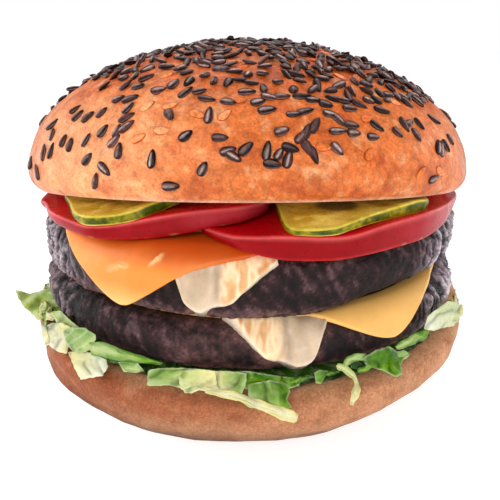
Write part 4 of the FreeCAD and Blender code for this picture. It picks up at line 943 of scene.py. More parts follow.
UP_SAUCE = [(173.5, 268), (175.4, 274.9), (179.2, 285.6), (182.6, 297.9), (188.4, 304), (196, 308.6), (202.2, 309.3), (208.3, 305.5), (214.4, 302.9),
            (225.1, 302.5), (232.8, 299.4), (238.9, 293.3), (246.5, 285.6), (260, 273.4), (270, 266), (278.5, 259.8)]
LOW_SAUCE = [(222.2, 316.1), (237, 327), (256.8, 346.8), (263.7, 353.7), (270.6, 356.6), (280.5, 357.6), (288.4, 360.6), (296.3, 363.6),
             (306.2, 362.2), (314.1, 356.6), (318.1, 344.8), (323, 331), (326.5, 321), (327.5, 316)]
sauce("sauce_top", "upper_sauce", 57.0, 53.6, traced(UP_SAUCE, 57.0, 53.6, 1.0), 200, True, 0.0)
sauce("sauce_low", "lower_sauce", 58.0, 37.6, traced(LOW_SAUCE, 58.0, 37.6, 1.0), 220, False, 1.1)


# ================================================================ slices under the lid
def liner_z(y):
    return 57.9 + np.maximum(0, -y - 16.6) * 0.1987


def rim_z(y):
    return 54.1 + 0.1987 * np.maximum(0, -y)


def ground(px, py, z):
    d = aim(px, py)
    return CAM + d * (z - CAM[2]) / d[2]


def edge_by_sight(rows):
    """rows of (x, lower y, upper y, height of the lower edge) to plan points and the two heights of a slice's edge."""
    out = []
    for px, low, high, z in rows:
        p = ground(px, low, z)
        out.append((p[0], p[1], z, z + (low - high) * project(p)[2] / FOCAL / math.cos(PITCH)))
    return out


def plate(name, node, mat, outline, centre, low_in, high_in, colour, n=300, m=40, bevel=0.35, rim_rows=8, blend=0.55, belly=0.2):
    """Slice whose edge is outline (x, y, lower z, upper z); inside it eases to low_in and high_in."""
    c = np.asarray(centre, float)
    edge4 = spline(outline, 1200, closed=True)
    rel = edge4[:, :2] - c
    ang = np.arctan2(rel[:, 1], rel[:, 0])
    order = np.argsort(ang)
    th = np.linspace(-np.pi, np.pi, n, endpoint=False)
    wrap = np.concatenate([ang[order] - 2 * np.pi, ang[order], ang[order] + 2 * np.pi])

    def around(v):
        return np.interp(th, wrap, np.tile(v[order], 3))

    reach, e_lo, e_hi = around(np.hypot(rel[:, 0], rel[:, 1])), around(edge4[:, 2]), around(edge4[:, 3])
    s = np.linspace(0, 1, m + 1)[1:] ** 0.8
    pts = np.stack([c[0] + np.outer(reach * np.cos(th), s), c[1] + np.outer(reach * np.sin(th), s)], -1)
    x, y = pts[..., 0].ravel(), pts[..., 1].ravel()
    w = smooth(blend, 1.0, s)[None, :]
    zl = low_in(x, y).reshape(n, m) * (1 - w) + e_lo[:, None] * w
    zh = high_in(x, y).reshape(n, m) * (1 - w) + e_hi[:, None] * w
    zh = np.minimum(zh, (liner_z(y) - 0.15).reshape(n, m))
    zh = np.where(np.hypot(x, y).reshape(n, m) > 50.5, np.minimum(zh, (rim_z(y) - 0.3).reshape(n, m)), zh)
    zh = np.maximum(zh, zl + 0.7)
    bev = np.minimum(bevel, (zh - zl) * 0.35)
    inset = np.clip((1 - s)[None, :] * reach[:, None] / bev, 0, 1)
    rnd = (np.sqrt(np.clip(1 - (1 - inset) ** 2, 0, 1)) - 1) * bev
    zh2, zl2 = zh + rnd, zl - rnd
    c_lo, c_hi = float(low_in(c[:1], c[1:])[0]), float(min(high_in(c[:1], c[1:])[0], liner_z(c[1]) - 0.15))
    side = np.linspace(0, 1, rim_rows + 2)[1:-1]
    outp = np.stack([np.cos(th), np.sin(th)], -1)
    rows = [np.dstack([pts, zh2])]
    for k in side:
        e = pts[:, -1] + outp * belly * math.sin(math.pi * k)
        rows.append(np.dstack([e[:, None, :], (zh2[:, -1] + (zl2[:, -1] - zh2[:, -1]) * k)[:, None]]))
    rows.append(np.dstack([pts[:, ::-1], zl2[:, ::-1]]))
    g = np.concatenate(rows, 1)
    mm = g.shape[1]
    v = np.concatenate([g.reshape(-1, 3), [[c[0], c[1], c_hi], [c[0], c[1], c_lo]]])
    f = list(grid_faces(n, mm, True, False))
    a, b = n * mm, n * mm + 1
    f += [(a, i * mm, ((i + 1) % n) * mm) for i in range(n)]
    f += [(b, ((i + 1) % n) * mm + mm - 1, i * mm + mm - 1) for i in range(n)]
    ob = new_object(name, v, f, mat)
    tidy(ob)
    share = np.concatenate([np.repeat(s[None], n, 0), np.full((n, rim_rows), 2.0), np.repeat(s[None, ::-1], n, 0)], 1)
    down = np.concatenate([np.zeros((n, m)), np.repeat(side[None], n, 0), np.ones((n, m))], 1)
    edge = np.concatenate([(1 - s)[None, :] * reach[:, None], np.zeros((n, rim_rows)), (1 - s[::-1])[None, :] * reach[:, None]], 1)
    share = np.concatenate([share.ravel(), [0, 0]])
    down = np.concatenate([down.ravel(), [0, 1]])
    edge = np.concatenate([edge.ravel(), [20, 20]])
    paint(ob, colour(v, share, down, edge))
    return done(ob, "lid", [node], sharp=60)


def tomato_colour(seed, pink, heart=(0.0, -20.0), reach=38.0):
    def f(p, share, down, edge):
        n = fbm(p / 7, seed, 3)
        n2 = fbm(p / np.array([1.6, 1.6, 4]), seed + 4, 3)
        top = mix(lin(186, 0, 16), lin(208, 8, 26), smooth(-0.4, 0.5, n))
        top = mix(top, lin(190, 30, 40), smooth(1.6, 0.2, edge) * 0.55)
        # painted highlight: the rim turns paler pink where the given weight function is high
        pk = pink(p) + 0.25 * n
        rim = mix(lin(146, 0, 8), lin(176, 44, 54), smooth(0.1, 1.0, pk))
        # painted shade: the rim darkens towards its lower edge
        rim = mix(rim, lin(138, 4, 12), smooth(0.45, 1.0, down) * 0.6)
        # painted highlight along the rim's top edge
        rim = mix(rim, lin(228, 116, 112), smooth(0.16, 0.0, down) * 0.75)
        a = np.arctan2(p[:, 1] - heart[1], p[:, 0] - heart[0])
        rr_ = np.hypot(p[:, 0] - heart[0], p[:, 1] - heart[1]) / reach + 0.05 * n
        wedge = np.abs(((a * 9 / (2 * np.pi) + 0.12 * n + seed * 0.1) % 1.0) - 0.5) * 2
        gel = smooth(0.78, 0.6, wedge) * smooth(0.84, 0.76, rr_) * smooth(0.3, 0.4, rr_)
        pip, _, _ = worley(p * np.array([1, 1, 0]) / 3.1, seed + 9)
        cut = mix(lin(196, 40, 38), lin(214, 70, 58), smooth(-0.3, 0.5, n2))
        cut = mix(cut, lin(226, 110, 84), smooth(0.4, 0.22, rr_) * 0.8)
        cut = mix(cut, lin(168, 26, 12), gel * 0.85)
        cut = mix(cut, lin(240, 202, 130), gel * smooth(0.34, 0.22, pip) * 0.9)
        cut = mix(cut, lin(160, 6, 14), smooth(1.1, 0.3, edge) * 0.8)
        top = np.where((down > 0.5)[:, None], cut, top)
        c = np.where((share > 1.5)[:, None], rim, top)
        # painted highlight along the top face's edge
        c = mix(c, lin(222, 100, 100), np.where(share <= 1.5, smooth(0.35, 0.05, edge) * (down < 0.5) * 0.7, 0))
        return c * (1 + 0.1 * n2[:, None])
    return f


def right_low(x, y):
    return 55.85 + 0 * x


def right_high(x, y):
    return np.interp(x, [-10, -4.5, 0, 5, 10, 20, 45], [56.9, 57.6, 58.35, 59.1, 59.7, 59.8, 59.4])


def left_low(x, y):
    return np.interp(x, [-52, -27, -20, -13, -9, -4.5, 0, 4], [55.8, 55.8, 55.9, 56.4, 57.05, 57.75, 58.5, 58.95])


def left_high(x, y):
    return np.interp(x, [-52, -41, -34, -27, -20, -13, -9, -4.5, 0, 4], [57.3, 57.8, 58.1, 58.8, 60.1, 60.9, 61.2, 61.6, 61.9, 62.0])


T_RIGHT = edge_by_sight([(200, 231, 225, 55.8), (227, 246, 234.5, 55.4), (251, 255, 236.5, 54.9), (281, 261, 236, 54.5), (322, 262, 237, 54.3), (351, 259, 235, 54.3),
                         (389, 250, 223, 54.3), (424, 239, 213, 54.3), (443, 225.5, 205, 54.2), (451, 212, 200, 54.2), (456, 198, 193.5, 54.2)])
T_RIGHT += [(57.0, -6, 54.4, 55.3), (52, -3, 55.3, 56.8), (45, -9, 55.7, 57.6), (36, -13, 55.7, 57.6), (29.5, -17.5, 55.7, 57.7), (27.3, -25, 55.8, 58.4),
            (26.4, -31.2, 55.9, 59.6), (20, -32.2, 55.9, 59.7), (8, -32.2, 55.9, 59.3), (-3, -33, 55.9, 57.7), (-9, -38, 55.9, 56.9)]
T_LEFT = edge_by_sight([(42, 203, 198, 55.6), (46.5, 210, 203, 55.4), (51, 220, 210.5, 55.4), (65, 229, 218, 55.4), (89, 238, 225.5, 55.4), (118, 240, 224, 55.4),
                        (151, 239, 218, 55.6), (184, 234.5, 212.5, 56.3), (206, 230, 210, 57.0), (228, 226, 208, 57.75), (250, 221, 205, 58.5)])
T_LEFT += [(4.0, -42, 58.95, 61.9), (3, -36, 58.8, 61.4), (-6, -33, 57.8, 60.9), (-16, -32.3, 56.5, 60.4), (-24.5, -32, 55.9, 59.4), (-27, -29, 55.9, 59.0),
           (-27.4, -22, 55.8, 58.6), (-30, -17, 55.8, 57.7), (-36, -13, 55.8, 57.6), (-44, -8, 55.8, 57.5), (-50, -3, 55.4, 56.8), (-55.5, -6, 54.6, 55.2)]
# each slice's lambda weights the painted highlight on its rim
plate("tomato_slice_right", "tomato_right", M_TOMATO, T_RIGHT, (31.0, -38.0), right_low, right_high,
      tomato_colour(301, lambda p: smooth(14, 50, p[:, 0]), (24.0, -26.0), 40.0))
plate("tomato_slice_left", "tomato_left", M_TOMATO, T_LEFT, (-31.5, -37.0), left_low, left_high,
      tomato_colour(321, lambda p: 0.25 + 0.75 * np.maximum(smooth(-34, -50, p[:, 0]), smooth(-18, -8, p[:, 0])), (-25.0, -24.0), 38.0))


def pickle_colour(seed, cx_, cy_):
    def f(p, share, down, edge):
        n = fbm(p / 3.0, seed, 4)
        n2 = fbm(p / 1.1, seed + 4, 3)
        a = np.arctan2(p[:, 1] - cy_, p[:, 0] - cx_)
        ray = np.sin(9 * a + 2.5 * n)
        flesh = mix(lin(214, 170, 44), lin(255, 226, 110), smooth(-0.6, 0.7, n + 0.35 * ray))
        flesh = mix(flesh, lin(210, 196, 70), smooth(2.4, 0.3, edge) * 0.6)
        # painted shadow: a dark brown patch where the bun's edge overhangs the right slice
        px_, py_, _ = project(p)
        flesh = mix(flesh, lin(92, 60, 26), smooth(1.15, 0.7, np.hypot((px_ - 337) / 23.0, (py_ - 205.5) / 6.0)) * 0.85)
        rim = mix(lin(92, 98, 4), lin(154, 142, 20), smooth(-0.4, 0.5, n2 + 0.6 * n))
        rim = mix(rim, lin(40, 66, 4), smooth(0.0, 0.4, n + 0.35 * np.sin(p[:, 0] * 0.55)) * 0.85)
        # painted highlight along the rim's top edge
        rim = mix(rim, lin(196, 190, 70), smooth(0.22, 0.0, down) * 0.5)
        c = np.where((share > 1.5)[:, None], rim, flesh)
        return c * (1 + 0.1 * n2[:, None])
    return f


def on_left(x, y):
    return left_high(x, y) + 0.1


def on_right(x, y):
    return right_high(x, y) + 0.1


def pk(base, t, seed):
    def f(x, y):
        return base(x, y) + t + 0.25 * fbm(np.stack([x, y, 0 * x], -1) / 5, seed, 2)
    return f


P_LEFT = edge_by_sight([(66, 200, 193.5, 58.2), (70, 209, 201, 58.2), (75, 220, 211, 58.3), (87, 226, 216, 58.4), (114, 225, 215, 58.95), (136, 221, 210, 59.6),
                        (153, 215, 203, 60.2), (180, 204, 195.5, 61.0)])
P_LEFT += [(-15.5, -38, 60.8, 61.9), (-19, -34.5, 60.4, 61.3), (-26, -33.2, 59.2, 61.1), (-34, -32.2, 58.4, 60.8), (-41, -31, 58.0, 60.2)]
P_RIGHT = edge_by_sight([(277, 207, 199, 59.5), (279, 217, 208, 59.5), (287.5, 233.5, 226, 59.6), (308, 237, 229.5, 59.75), (335, 236, 227.5, 59.85), (351, 231, 222, 59.9),
                         (370, 225, 215, 59.9), (389, 220, 209, 59.85), (424, 211, 198, 59.7), (426, 203, 191, 59.6)])
P_RIGHT += [(40.5, -34, 59.6, 61.0), (33, -33.3, 59.8, 61.0), (22, -33.3, 59.9, 61.1), (10, -34, 59.8, 61.1)]
plate("pickle_slice_left", "pickle_left", M_PICKLE, P_LEFT, (-31.0, -40.5), on_left, pk(on_left, 2.1, 340), pickle_colour(341, -30, -36), 240, 30, 0.25)
plate("pickle_slice_right", "pickle_right", M_PICKLE, P_RIGHT, (21.0, -44.0), on_right, pk(on_right, 2.0, 350), pickle_colour(351, 22, -38), 240, 30, 0.25)

# ================================================================ top bun
LEAN = math.radians(11.24)
CL, SL = math.cos(LEAN), math.sin(LEAN)
ZW, BR, BH, DROP, BX, BSKEW = 60.7, 59.8, 32.64, 6.5, -0.57, -1.0
BUN_PTS = [(7.4, 32.3), (0.0, 32.64), (7.4, 32.3), (13.65, 31.5), (20.8, 30.0), (29.7, 27.5), (37.9, 24.0), (45.4, 20.0), (50.8, 16.0), (54.7, 12.0), (57.3, 8.0), (58.9, 4.0),
           (59.7, 0.5), (59.8, -2.0), (59.4, -3.8), (58.4, -5.3), (56.9, -6.5)]
_half = np.array(BUN_PTS[1:], float)
mer = spline(np.vstack([_half[1] * (-1, 1), _half]), 700)
mer = mer[mer[:, 0] >= 0]
mer[0] = (0.0, BH)
_k = np.argsort(mer[:, 1])
PROF_Z, PROF_R2 = mer[_k, 1], mer[_k, 0] ** 2


def bun_place(X, Y, Z):
    return np.stack([X + BX + BSKEW * Z / 30.0, Y * CL + Z * SL, ZW - Y * SL + Z * CL], -1)


def bun_local(p):
    y, z = p[:, 1], p[:, 2] - ZW
    Z = y * SL + z * CL
    return np.stack([p[:, 0] - BX - BSKEW * Z / 30.0, y * CL - z * SL, Z], -1)


def bun_out(p):
    q = bun_local(p)
    v = (q[:, 0] ** 2 + q[:, 1] ** 2 - np.interp(q[:, 2], PROF_Z, PROF_R2)) / 3600.0
    v = np.where(q[:, 2] > BH, (q[:, 2] - BH) / 30.0 + v * 0 + 0.001, v)
    return np.where(q[:, 2] < -DROP, 1.0, v)


def bun_lump(p):
    calm = smooth(52, 40, p[:, 1]) + smooth(64, 72, p[:, 2])
    return (0.5 * fbm(p / 24, 401, 3) + 0.22 * fbm(p / 7.5, 409, 3) + 0.07 * fbm(p / 2.4, 415, 2)) * np.clip(calm, 0, 1)


arc_len = np.concatenate([[0], np.cumsum(np.hypot(*np.diff(mer, axis=0).T))])
NB, MO, MI = 420, 104, 34
alpha = np.linspace(0, 2 * np.pi, NB, endpoint=False)
share_out = np.concatenate([np.linspace(0, 0.93, MO - 14), 0.93 + 0.07 * np.linspace(0, 1, 15)[1:]])[1:]
share_in = np.linspace(1, 0, MI + 1)[:-1]
rings = []
for al in alpha:
    sx, sy = math.sin(al), -math.cos(al)
    wz = ZW - mer[:, 0] * sy * SL + mer[:, 1] * CL
    bad = np.nonzero(wz < 54.35)[0]
    end = arc_len[bad[0]] if len(bad) else arc_len[-1]
    so = share_out * (end - 0.7)
    r_o, z_o = np.interp(so, arc_len, mer[:, 0]), np.interp(so, arc_len, mer[:, 1])
    si = share_in * (end - 0.9)
    r_i, z_i = np.interp(si, arc_len, mer[:, 0]), np.interp(si, arc_len, mer[:, 1])
    tr, tz = np.gradient(np.interp(si - 0.0, arc_len, mer[:, 0])), np.gradient(np.interp(si, arc_len, mer[:, 1]))
    ln = np.hypot(tr, tz) + 1e-9
    r_i, z_i = r_i - 2.4 * tz / ln, z_i + 2.4 * tr / ln
    r_i = np.maximum(r_i, 0.05)
    a0 = np.array([r_o[-1], z_o[-1]])
    b0 = np.array([r_i[0], z_i[0]])
    md, hv = (a0 + b0) / 2, (a0 - b0) / 2
    out_dir = np.array([-hv[1], hv[0]])
    if out_dir[1] > 0:
        out_dir = -out_dir
    out_dir = out_dir / (np.linalg.norm(out_dir) + 1e-9) * 0.62
    lip = np.array([md + hv * math.cos(t) + out_dir * math.sin(t) for t in np.linspace(0, math.pi, 8)[1:-1]])
    line = np.vstack([np.stack([r_o, z_o], 1), lip, np.stack([r_i, z_i], 1)])
    rings.append(bun_place(line[:, 0] * sx, line[:, 0] * sy, line[:, 1]))
crown_v = np.array(rings)
flat = crown_v.reshape(-1, 3)
q = bun_local(flat)
dirn = np.stack([q[:, 0] / BR ** 2, q[:, 1] / BR ** 2, np.maximum(q[:, 2], 0) / BH ** 2], -1)
dirn /= np.linalg.norm(dirn, axis=1)[:, None] + 1e-12
dirn = np.stack([dirn[:, 0], dirn[:, 1] * CL + dirn[:, 2] * SL, -dirn[:, 1] * SL + dirn[:, 2] * CL], -1)
amount = bun_lump(flat).reshape(NB, -1)
amount[:, len(share_out) + 6:] = 0
fade = np.ones(amount.shape[1])
fade[len(share_out):len(share_out) + 6] = np.linspace(0.9, 0.1, 6)
flat = flat + dirn * (amount * fade[None]).reshape(-1, 1)
flat[:, 2] = np.where((flat[:, 1] > 20) & (flat[:, 2] < 54.3), 54.3, flat[:, 2])
mm = crown_v.shape[1]
poles = bun_place(np.zeros(2), np.zeros(2), np.array([BH + 0.2, BH - 2.4]))
v = np.concatenate([flat, poles])
f = list(grid_faces(NB, mm, True, False))
f += [(NB * mm, i * mm, ((i + 1) % NB) * mm) for i in range(NB)]
f += [(NB * mm + 1, ((i + 1) % NB) * mm + mm - 1, i * mm + mm - 1) for i in range(NB)]
crown = new_object("crown_bun", v, f, M_CROWN)
tidy(crown)
carve(crown, [box_solid(-8.0, 8.0, 46.0, 76.0, 50.0, 61.2), rod_solid("x", 4.2, -19.6, 19.6, 62.0, 53.8)])


def crown_colour(p):
    q = bun_local(p)
    n = fbm(p / 20, 431, 4)
    n2 = fbm(p / 6, 437, 4)
    h = q[:, 2] + 5.0 * n + 1.5 * n2
    n3 = fbm(p / 2.0, 441, 3)
    c = mix(lin(204, 108, 50), lin(221, 113, 50), smooth(-5, 5, h))
    # painted light: lighter on the left middle
    c = mix(c, lin(252, 164, 110), smooth(2, -32, p[:, 0] + 14 * n + 6 * n2) * smooth(30, 16, h) * 0.9)
    # painted light: lighter low on the right
    c = mix(c, lin(242, 138, 80), smooth(20, 52, p[:, 0] + 14 * n) * smooth(20, 8, h) * 0.5)
    c = mix(c, lin(222, 104, 44), smooth(9, 24, h) * 0.85)
    c = mix(c, lin(196, 84, 34), smooth(22, 33, h) * 0.8)
    c = mix(c, lin(255, 190, 138), smooth(0.08, 0.55, 0.7 * n2 + 0.8 * n3) * 0.5)
    c = mix(c, lin(176, 66, 22), smooth(0.08, 0.55, -n2 + 0.4 * n - 0.4 * n3) * 0.6)
    # painted shade: darker along the right edge
    c = mix(c, lin(128, 50, 32), smooth(46, 60, p[:, 0]) * 0.85)
    # painted shade: darker along the far left edge
    c = mix(c, lin(166, 76, 46), smooth(-42, -58, p[:, 0]) * 0.65)
    rim = smooth(-5.3, -6.4, q[:, 2])
    c = mix(c, lin(240, 205, 180), rim * 0.8)
    r = np.hypot(q[:, 0], q[:, 1])
    inside = (r < BR - 4.4) & (q[:, 2] < -1)
    return np.where(inside[:, None], lin(224, 196, 150), c)


paint(crown, crown_colour(coords(crown)))
done(crown, "lid", ["top_bun"], sharp=55)

# ---------------------------------------------------------------- seeds
DARK = [(152, 159, 88), (171, 186, 5), (203, 169, 60), (186, 136, 40), (220, 138, 0), (170, 116, -60), (228, 102, -20), (160, 92, 35), (119, 151, 85),
        (87, 159, 40), (104, 169, -40), (95, 181, 60), (103, 131, 60), (64, 141, 50), (52, 151, 80), (45, 153, 70), (39, 172, 85), (32, 163, 85),
        (86, 140, 50), (70, 145, 60), (53, 135, 50), (54, 125, 40), (76, 110, 40), (78, 116, 35), (88, 117, 20), (102, 113, 30), (119, 100, 20),
        (131, 100, 10), (129, 109, 60), (127, 118, 20), (117, 131, 50), (127, 127, 30), (114, 141, 40), (127, 87, 20), (139, 88, -20), (106, 88, 35),
        (186, 94, 50), (200, 93, 0), (207, 100, -20), (209, 116, 85), (247, 92, 10), (228, 151, 20), (234, 157, -30), (246, 149, 45), (267, 151, 80),
        (279, 154, 60), (290, 148, -20), (288, 159, 75), (272, 164, -10), (301, 137, 50), (307, 131, 70), (308, 148, -60), (314, 155, -70), (337, 149, -40),
        (315, 125, 60), (282, 131, 30), (294, 114, 0), (305, 111, 20), (326, 104, -10), (331, 114, 0), (339, 120, -50), (344, 100, 10), (350, 108, 10),
        (360, 104, -10), (369, 100, 5), (382, 110, 0), (352, 125, 0), (338, 131, 10), (354, 133, 10), (377, 126, -40), (373, 137, 10), (397, 133, -30),
        (404, 125, -50), (409, 123, 40), (419, 124, -50), (416, 135, -60), (433, 120, -20), (438, 147, 60), (441, 149, 85), (445, 146, -70), (449, 140, -50),
        (433, 179, 10), (457, 127, -50), (449, 118, -50), (407, 103, -20), (417, 102, -30), (302, 96, 0), (282, 96, 10), (258, 102, 30), (267, 110, 20),
        (270, 97, 0)]
GHOST = [(139, 138, 20), (225, 115, 50), (198, 115, -30), (163, 131, 0), (171, 107, 20), (239, 100, -20), (148, 107, 40), (369, 154, 60), (324, 147, 0),
         (368, 118, 30), (420, 173, 50), (440, 172, -20), (395, 102, 0)]


def surface_frame(p):
    e = 0.05
    g = np.array([(bun_out((p + d)[None])[0] - bun_out((p - d)[None])[0]) for d in (np.array([e, 0, 0]), np.array([0, e, 0]), np.array([0, 0, e]))])
    return g / (np.linalg.norm(g) + 1e-12)


rng = np.random.default_rng(20)
seat = []
for px, py, tilt in DARK + GHOST:
    p = strike(px, py, bun_out)
    if p is None:
        continue
    n = surface_frame(p)
    d = RGT * math.cos(math.radians(tilt)) + UPV * math.sin(math.radians(tilt))
    d = d - n * (d @ n)
    seat.append((p, n, d / np.linalg.norm(d), (px, py, tilt) in GHOST))
taken = np.array([s[0] for s in seat])
tries = 0
while tries < 26000 and len(seat) < 1050:
    tries += 1
    al, w = rng.uniform(0, 2 * np.pi), rng.uniform(0, arc_len[-1])
    r, Z = float(np.interp(w, arc_len, mer[:, 0])), float(np.interp(w, arc_len, mer[:, 1]))
    if rng.random() > r / BR:
        continue
    h = Z / BH
    p = bun_place(np.array([r * math.sin(al)]), np.array([-r * math.cos(al)]), np.array([Z]))[0]
    if ((taken - p) ** 2).sum(1).min() < 4.0:
        continue
    n = surface_frame(p)
    px, py, _ = project(p)
    if n @ (CAM - p) > 0:
        if py > (101 if px > 235 else 86 if px > 150 else 80):
            continue
        gap = (2.05 if px > 285 else 2.45) if px > 180 else 2.9
    else:
        if h < 0.22 or rng.random() > smooth(0.12, 0.62, h):
            continue
        gap = 2.1 + 2.4 * (1 - h)
    if np.min(np.linalg.norm(taken - p, axis=1)) < gap:
        continue
    d = rng.normal(size=3)
    d = d - n * (d @ n)
    seat.append((p, n, d / np.linalg.norm(d), rng.random() < 0.05))
    taken = np.vstack([taken, p])

SU, SV = 14, 16
tu = np.linspace(0, np.pi, SU + 2)[1:-1]
su = -np.cos(tu)
half_w = np.sin(tu) ** 0.8 * (1 - 0.28 * su)
tv = np.linspace(0, 2 * np.pi, SV, endpoint=False)
unit = np.stack([np.repeat(su[:, None], SV, 1), half_w[:, None] * np.cos(tv)[None], half_w[:, None] * np.sin(tv)[None]], -1)
ridge = 0.86 + 0.5 * np.exp(-(np.cos(tv) / 0.3) ** 2) * (np.sin(tv) > 0)
unit[:, :, 2] *= ridge[None]
unit = np.concatenate([unit.reshape(-1, 3), [[-1.03, 0, 0], [1.05, 0, 0]]])
STRIPE = np.concatenate([(np.sin(tu)[:, None] * smooth(0.82, 1.0, np.abs(np.cos(2 * tv + 0.9)))[None]).ravel(), [0, 0]])
seed_f = list(grid_faces(SU, SV, False, True))
seed_f += [(SU * SV, (k + 1) % SV, k) for k in range(SV)]
seed_f += [(SU * SV + 1, (SU - 1) * SV + k, (SU - 1) * SV + (k + 1) % SV) for k in range(SV)]
V, Fs, C = [], [], []
for p, n, d, ghost in seat:
    b = np.cross(n, d)
    ln, wd, th = 1.74 * rng.uniform(0.86, 1.14), 0.9 * rng.uniform(0.85, 1.14), 0.42 * rng.uniform(0.85, 1.2)
    if ghost:
        ln, wd, th = 1.7, 0.92, 0.36
    heap = float(smooth(13.0, 22.0, bun_local(p[None])[0, 2])) * (0.0 if ghost else 1.0)
    pitch = rng.normal(0, 0.12 + 0.2 * heap)
    roll = rng.normal(0, 0.1 + 0.3 * heap)
    d2 = d * math.cos(pitch) + n * math.sin(pitch)
    n2 = n * math.cos(pitch) - d * math.sin(pitch)
    b, n2 = b * math.cos(roll) + n2 * math.sin(roll), n2 * math.cos(roll) - b * math.sin(roll)
    lump = bun_lump(p[None])[0]
    at = p + n * (lump + (0.2 if not ghost else 0.03) + heap * rng.uniform(0, 0.5))
    pts = at + unit[:, :1] * ln * d2 + unit[:, 1:2] * wd * b + unit[:, 2:3] * th * n2
    start = sum(len(x) for x in V)
    V.append(pts)
    Fs += [[i + start for i in q] for q in seed_f]
    if ghost:
        lo = smooth(0.62, 0.3, unit[:, 2])
        c = mix(np.repeat(crown_colour(p[None]) * 1.02, len(unit), 0), lin(168, 66, 18), lo * 0.95)
    else:
        k = rng.random()
        dark = mix(lin(20, 7, 10), lin(72, 38, 38), k ** 1.6)
        c = np.repeat(dark[None], len(unit), 0)
        # painted highlight along each seed's top ridge
        c = mix(c, lin(212, 182, 174), smooth(0.86, 1.2, unit[:, 2]) * 0.95 * rng.uniform(0.1, 1.0))
        # painted shade on each seed's underside and edges
        c = mix(c, lin(12, 4, 6), smooth(0.5, 0.1, unit[:, 2]) * 0.8)
        c = mix(c, lin(160, 118, 108), STRIPE * 0.6 * rng.uniform(0.0, 1.0))
    C.append(c)
seeds = new_object("sesame_seeds", np.concatenate(V), Fs, M_SEED)
tidy(seeds)
paint(seeds, np.concatenate(C))
done(seeds, "lid")

# ================================================================ lettuce
SK_Z = np.array([4, 8, 12, 16, 19.5, 22, 24, 25.4, 26.6, 30])
SK_R = np.array([52.5, 59.6, 62.2, 63.3, 63.7, 63.3, 62.2, 60.6, 59.2, 59.2])


def skirt(p):
    return np.hypot(p[:, 0], p[:, 1]) - np.interp(p[:, 2], SK_Z, SK_R)


def skirt_normal(p):
    e = 0.4
    r = math.hypot(p[0], p[1])
    slope = (np.interp(p[2] + e, SK_Z, SK_R) - np.interp(p[2] - e, SK_Z, SK_R)) / (2 * e)
    n = np.array([p[0] / r, p[1] / r, -slope])
    return n / np.linalg.norm(n)


LEAF_V, LEAF_F, LEAF_C = [], [], []
leaf_count = [0]
GREENS = {
    "cream": (lin(255, 252, 212), lin(252, 244, 168)),
    "white": (lin(250, 250, 232), lin(232, 238, 204)),
    "pale": (lin(244, 244, 186), lin(192, 214, 112)),
    "mint": (lin(208, 226, 150), lin(122, 172, 62)),
    "green": (lin(138, 192, 10), lin(46, 108, 0)),
    # dark: dark green lettuce, and painted shade where it fills the gaps under the patty and between leaves
    "dark": (lin(66, 112, 22), lin(24, 62, 8)),
    "olive": (lin(222, 222, 96), lin(140, 158, 16)),
}


